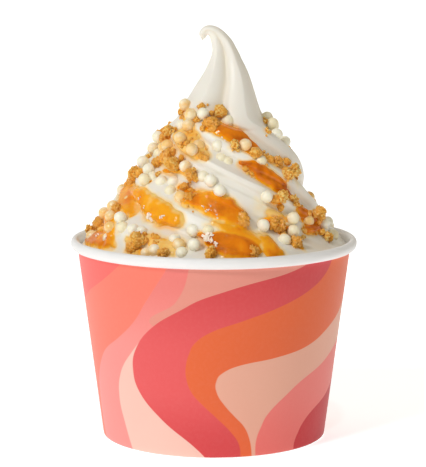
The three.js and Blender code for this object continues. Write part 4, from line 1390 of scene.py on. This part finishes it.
def crumb_bits(crumbs, draw):
    """Smaller bits that cling to each crumb."""
    bits = []
    for azimuth, height, radius, _ in crumbs:
        for _ in range(draw.integers(*BIT_COUNT)):
            way = draw.uniform(0, 2 * math.pi)
            away = radius * draw.uniform(*BIT_AWAY)
            size = radius * draw.uniform(*BIT_SIZE)
            bits.append((azimuth + degrees_round(away * math.cos(way), height),
                         height + 0.8 * away * math.sin(way), size, size * draw.uniform(*BIT_SINK)))
    return bits


def grit_points(crumbs, count, draw):
    """Fine grit, most of it close to the crumbs."""
    low, high = GRIT_HEIGHTS
    grit = []
    for _ in range(count):
        azimuth, height, radius, _ = crumbs[draw.integers(len(crumbs))]
        place = round_about((azimuth, height), radius * GRIT_SPREAD, draw)
        if low < place[1] < high:
            size = draw.uniform(*GRIT_SIZE) * draw.uniform(*GRIT_STRAY)
            grit.append((*place, size, GRIT_SINK))
    return grit


def salt_points(draw):
    """Azimuth, height and radius of the flakes."""
    flakes = []
    for azimuth, height, count, size in SALT_CLUSTERS:
        for _ in range(count):
            place = round_about((azimuth, height), SALT_SPREAD + SALT_SPREAD_EACH * count, draw)
            flakes.append((*place, size * draw.uniform(*SALT_SHARES)))
    return np.array(flakes).T


class FroyoMakePearls(bpy.types.Operator):
    """Make the white chocolate pearls"""
    bl_idname = "froyo.make_pearls"
    bl_label = "Pearls"

    def execute(self, context):
        settings = context.scene.froyo_toppings
        pearls, _ = strewn_toppings(settings)
        piece = topping_points("white_pearls", pearls, PEARL_SQUASH)
        tree = uneven_tree("place_pearls", ball, pearl_finish(settings), True)
        through_nodes(piece, tree, PEARL_FORM)
        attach(piece, "root")
        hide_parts("frozen_yogurt")
        return {"FINISHED"}


class FroyoMakeCrumbs(bpy.types.Operator):
    """Make the craggy biscuit crumbs and the finer grit of the same biscuit"""
    bl_idname = "froyo.make_crumbs"
    bl_label = "Crumbs"

    def execute(self, context):
        settings = context.scene.froyo_toppings
        _, crumbs = strewn_toppings(settings)
        draw = np.random.default_rng(settings.seed)
        smallest = settings.crumb_small / MM
        small = [crumb for crumb in crumbs if crumb[2] < smallest]
        places = {
            "biscuit_crumbs": [crumb for crumb in crumbs if crumb[2] >= smallest],
            "biscuit_bits": small + crumb_bits(crumbs, draw),
            "biscuit_grit": grit_points(crumbs, settings.grit_count, draw),
        }
        tree = crumb_tree(crumb_finish(settings))
        for name, pieces in places.items():
            piece = topping_points(name, pieces, CRUMB_SQUASH)
            through_nodes(piece, tree, CRUMB_KINDS[name])
            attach(piece, "root")
            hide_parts("frozen_yogurt")
        return {"FINISHED"}


class FroyoMakeSalt(bpy.types.Operator):
    """Make the pale salt flakes on the sauce"""
    bl_idname = "froyo.make_salt"
    bl_label = "Salt flakes"

    def execute(self, context):
        settings = context.scene.froyo_toppings
        sauce = context.scene.froyo_sauce
        azimuth, height, radius = salt_points(np.random.default_rng(settings.seed))
        centre, inside, _, _ = sauce_top(azimuth, height, sauce.thickness / MM)
        centre = centre + surface_normal(azimuth, height) * radius[:, None] * SALT_LIFT
        piece = loose_points("salt_flakes", centre, radius, inside, SALT_SQUASH)
        tree = uneven_tree("place_flakes", flake, salt_finish(settings), False)
        through_nodes(piece, tree, SALT_FORM)
        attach(piece, "root")
        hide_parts("frozen_yogurt")
        return {"FINISHED"}


# ---------------------------------------------------------------- stage

CAMERA_DISTANCE = 0.665
CAMERA_PITCH = 8.47
CAMERA_AIM = 0.06785
CAMERA_SIDE = -0.0003
CAMERA_LENS = 154.2
CAMERA_FAR = 20
SENSOR_WIDTH = 36
FLOOR_REACH = 7000
# Spread, tilt from overhead and turn about the object of the two lamps, in degrees
KEY_LAMP = (12, 52, -42)
SPARK_LAMP = (2.5, 22, 5)


def studio_world(settings):
    """Soft surrounding light, brighter from the left, from above and behind, warmer at the right."""
    net = Net(bpy.data.worlds.new("studio"))
    x, y, z = net.axes(net.node("ShaderNodeTexCoord", {}, {}, "Generated"))
    glow = settings.sky - x * settings.side + z * settings.above
    glow = glow + net.ramp(y, 0.3, 0.8) * settings.backdrop
    tone = net.mix(net.ramp(x, -0.3, 0.8), settings.sky_left, settings.sky_right)
    light = net.node("ShaderNodeBackground", {}, {"Color": tone, "Strength": glow})
    net.node("ShaderNodeOutputWorld", {}, {"Surface": light})
    return net.owner


def sun(name, power, spread, tilt, turn, tone=(1, 1, 1)):
    """A distant lamp."""
    lamp = bpy.data.lights.new(name, "SUN")
    lamp.energy = power
    lamp.angle = math.radians(spread)
    lamp.color = tone
    linked(name, lamp).rotation_euler = (math.radians(tilt), 0, math.radians(turn))


class FroyoMakeStage(bpy.types.Operator):
    """Make the floor, the studio lights and the camera"""
    bl_idname = "froyo.make_stage"
    bl_label = "Stage"

    def execute(self, context):
        settings = context.scene.froyo_stage
        net, place = new_finish("pale_floor")
        tone = net.mix(net.noise(place, 6.0), settings.floor, darker(settings.floor, 0.99))
        material = finish_surface(net, tone, 0.7,
                                  {"Specular IOR Level": 0.2, "Emission Color": settings.glow,
                                   "Emission Strength": settings.lift})
        corners = [(x * FLOOR_REACH, y * FLOOR_REACH, 0)
                   for x, y in ((-1, -1), (1, -1), (1, 1), (-1, 1))]
        floor = mesh_piece("floor", corners, [(0, 1, 2, 3)], material)
        context.scene.world = studio_world(settings)
        sun("key", settings.key_power, *KEY_LAMP, settings.key)
        sun("spark", settings.spark, *SPARK_LAMP)
        camera = linked("camera", bpy.data.cameras.new("camera"))
        camera.data.lens = CAMERA_LENS
        camera.data.sensor_width = SENSOR_WIDTH
        camera.data.clip_end = CAMERA_FAR
        pitch = math.radians(CAMERA_PITCH)
        camera.location = (CAMERA_SIDE, -CAMERA_DISTANCE,
                           CAMERA_AIM + CAMERA_DISTANCE * math.tan(pitch))
        camera.rotation_euler = (math.pi / 2 - pitch, 0, 0)
        context.scene.camera = camera
        context.scene.view_settings.view_transform = "Standard"
        return {"FINISHED"}


# ---------------------------------------------------------------- panel and registration

class FroyoPanel(bpy.types.Panel):
    """Lists the pieces of the frozen yogurt cup"""
    bl_idname = "VIEW3D_PT_froyo"
    bl_label = "Frozen yogurt cup"
    bl_space_type = "VIEW_3D"
    bl_region_type = "UI"
    bl_category = "Frozen yogurt"

    def draw(self, context):
        for group in SETTINGS:
            box = self.layout.box()
            for name in group.__annotations__:
                box.prop(getattr(context.scene, SETTINGS[group]), name)
        for operator in OPERATORS:
            self.layout.operator(operator.bl_idname)


SETTINGS = {
    FroyoCupSettings: "froyo_cup",
    FroyoYogurtSettings: "froyo_yogurt",
    FroyoSauceSettings: "froyo_sauce",
    FroyoToppingSettings: "froyo_toppings",
    FroyoStageSettings: "froyo_stage",
}
OPERATORS = (FroyoMakeStage, FroyoMakeCup, FroyoMakeYogurt, FroyoMakeSauce, FroyoMakePearls,
             FroyoMakeCrumbs, FroyoMakeSalt)


def register():
    for group, name in SETTINGS.items():
        bpy.utils.register_class(group)
        setattr(bpy.types.Scene, name, PointerProperty(type=group))
    for operator in OPERATORS:
        bpy.utils.register_class(operator)
    bpy.utils.register_class(FroyoPanel)


def unregister():
    bpy.utils.unregister_class(FroyoPanel)
    for operator in reversed(OPERATORS):
        bpy.utils.unregister_class(operator)
    for group, name in SETTINGS.items():
        delattr(bpy.types.Scene, name)
        bpy.utils.unregister_class(group)


def main():
    register()
    bpy.ops.froyo.make_stage()
    bpy.ops.froyo.make_cup()
    bpy.ops.froyo.make_yogurt()
    bpy.ops.froyo.make_sauce()
    bpy.ops.froyo.make_pearls()
    bpy.ops.froyo.make_crumbs()
    bpy.ops.froyo.make_salt()


if __name__ == "__main__":
    main()
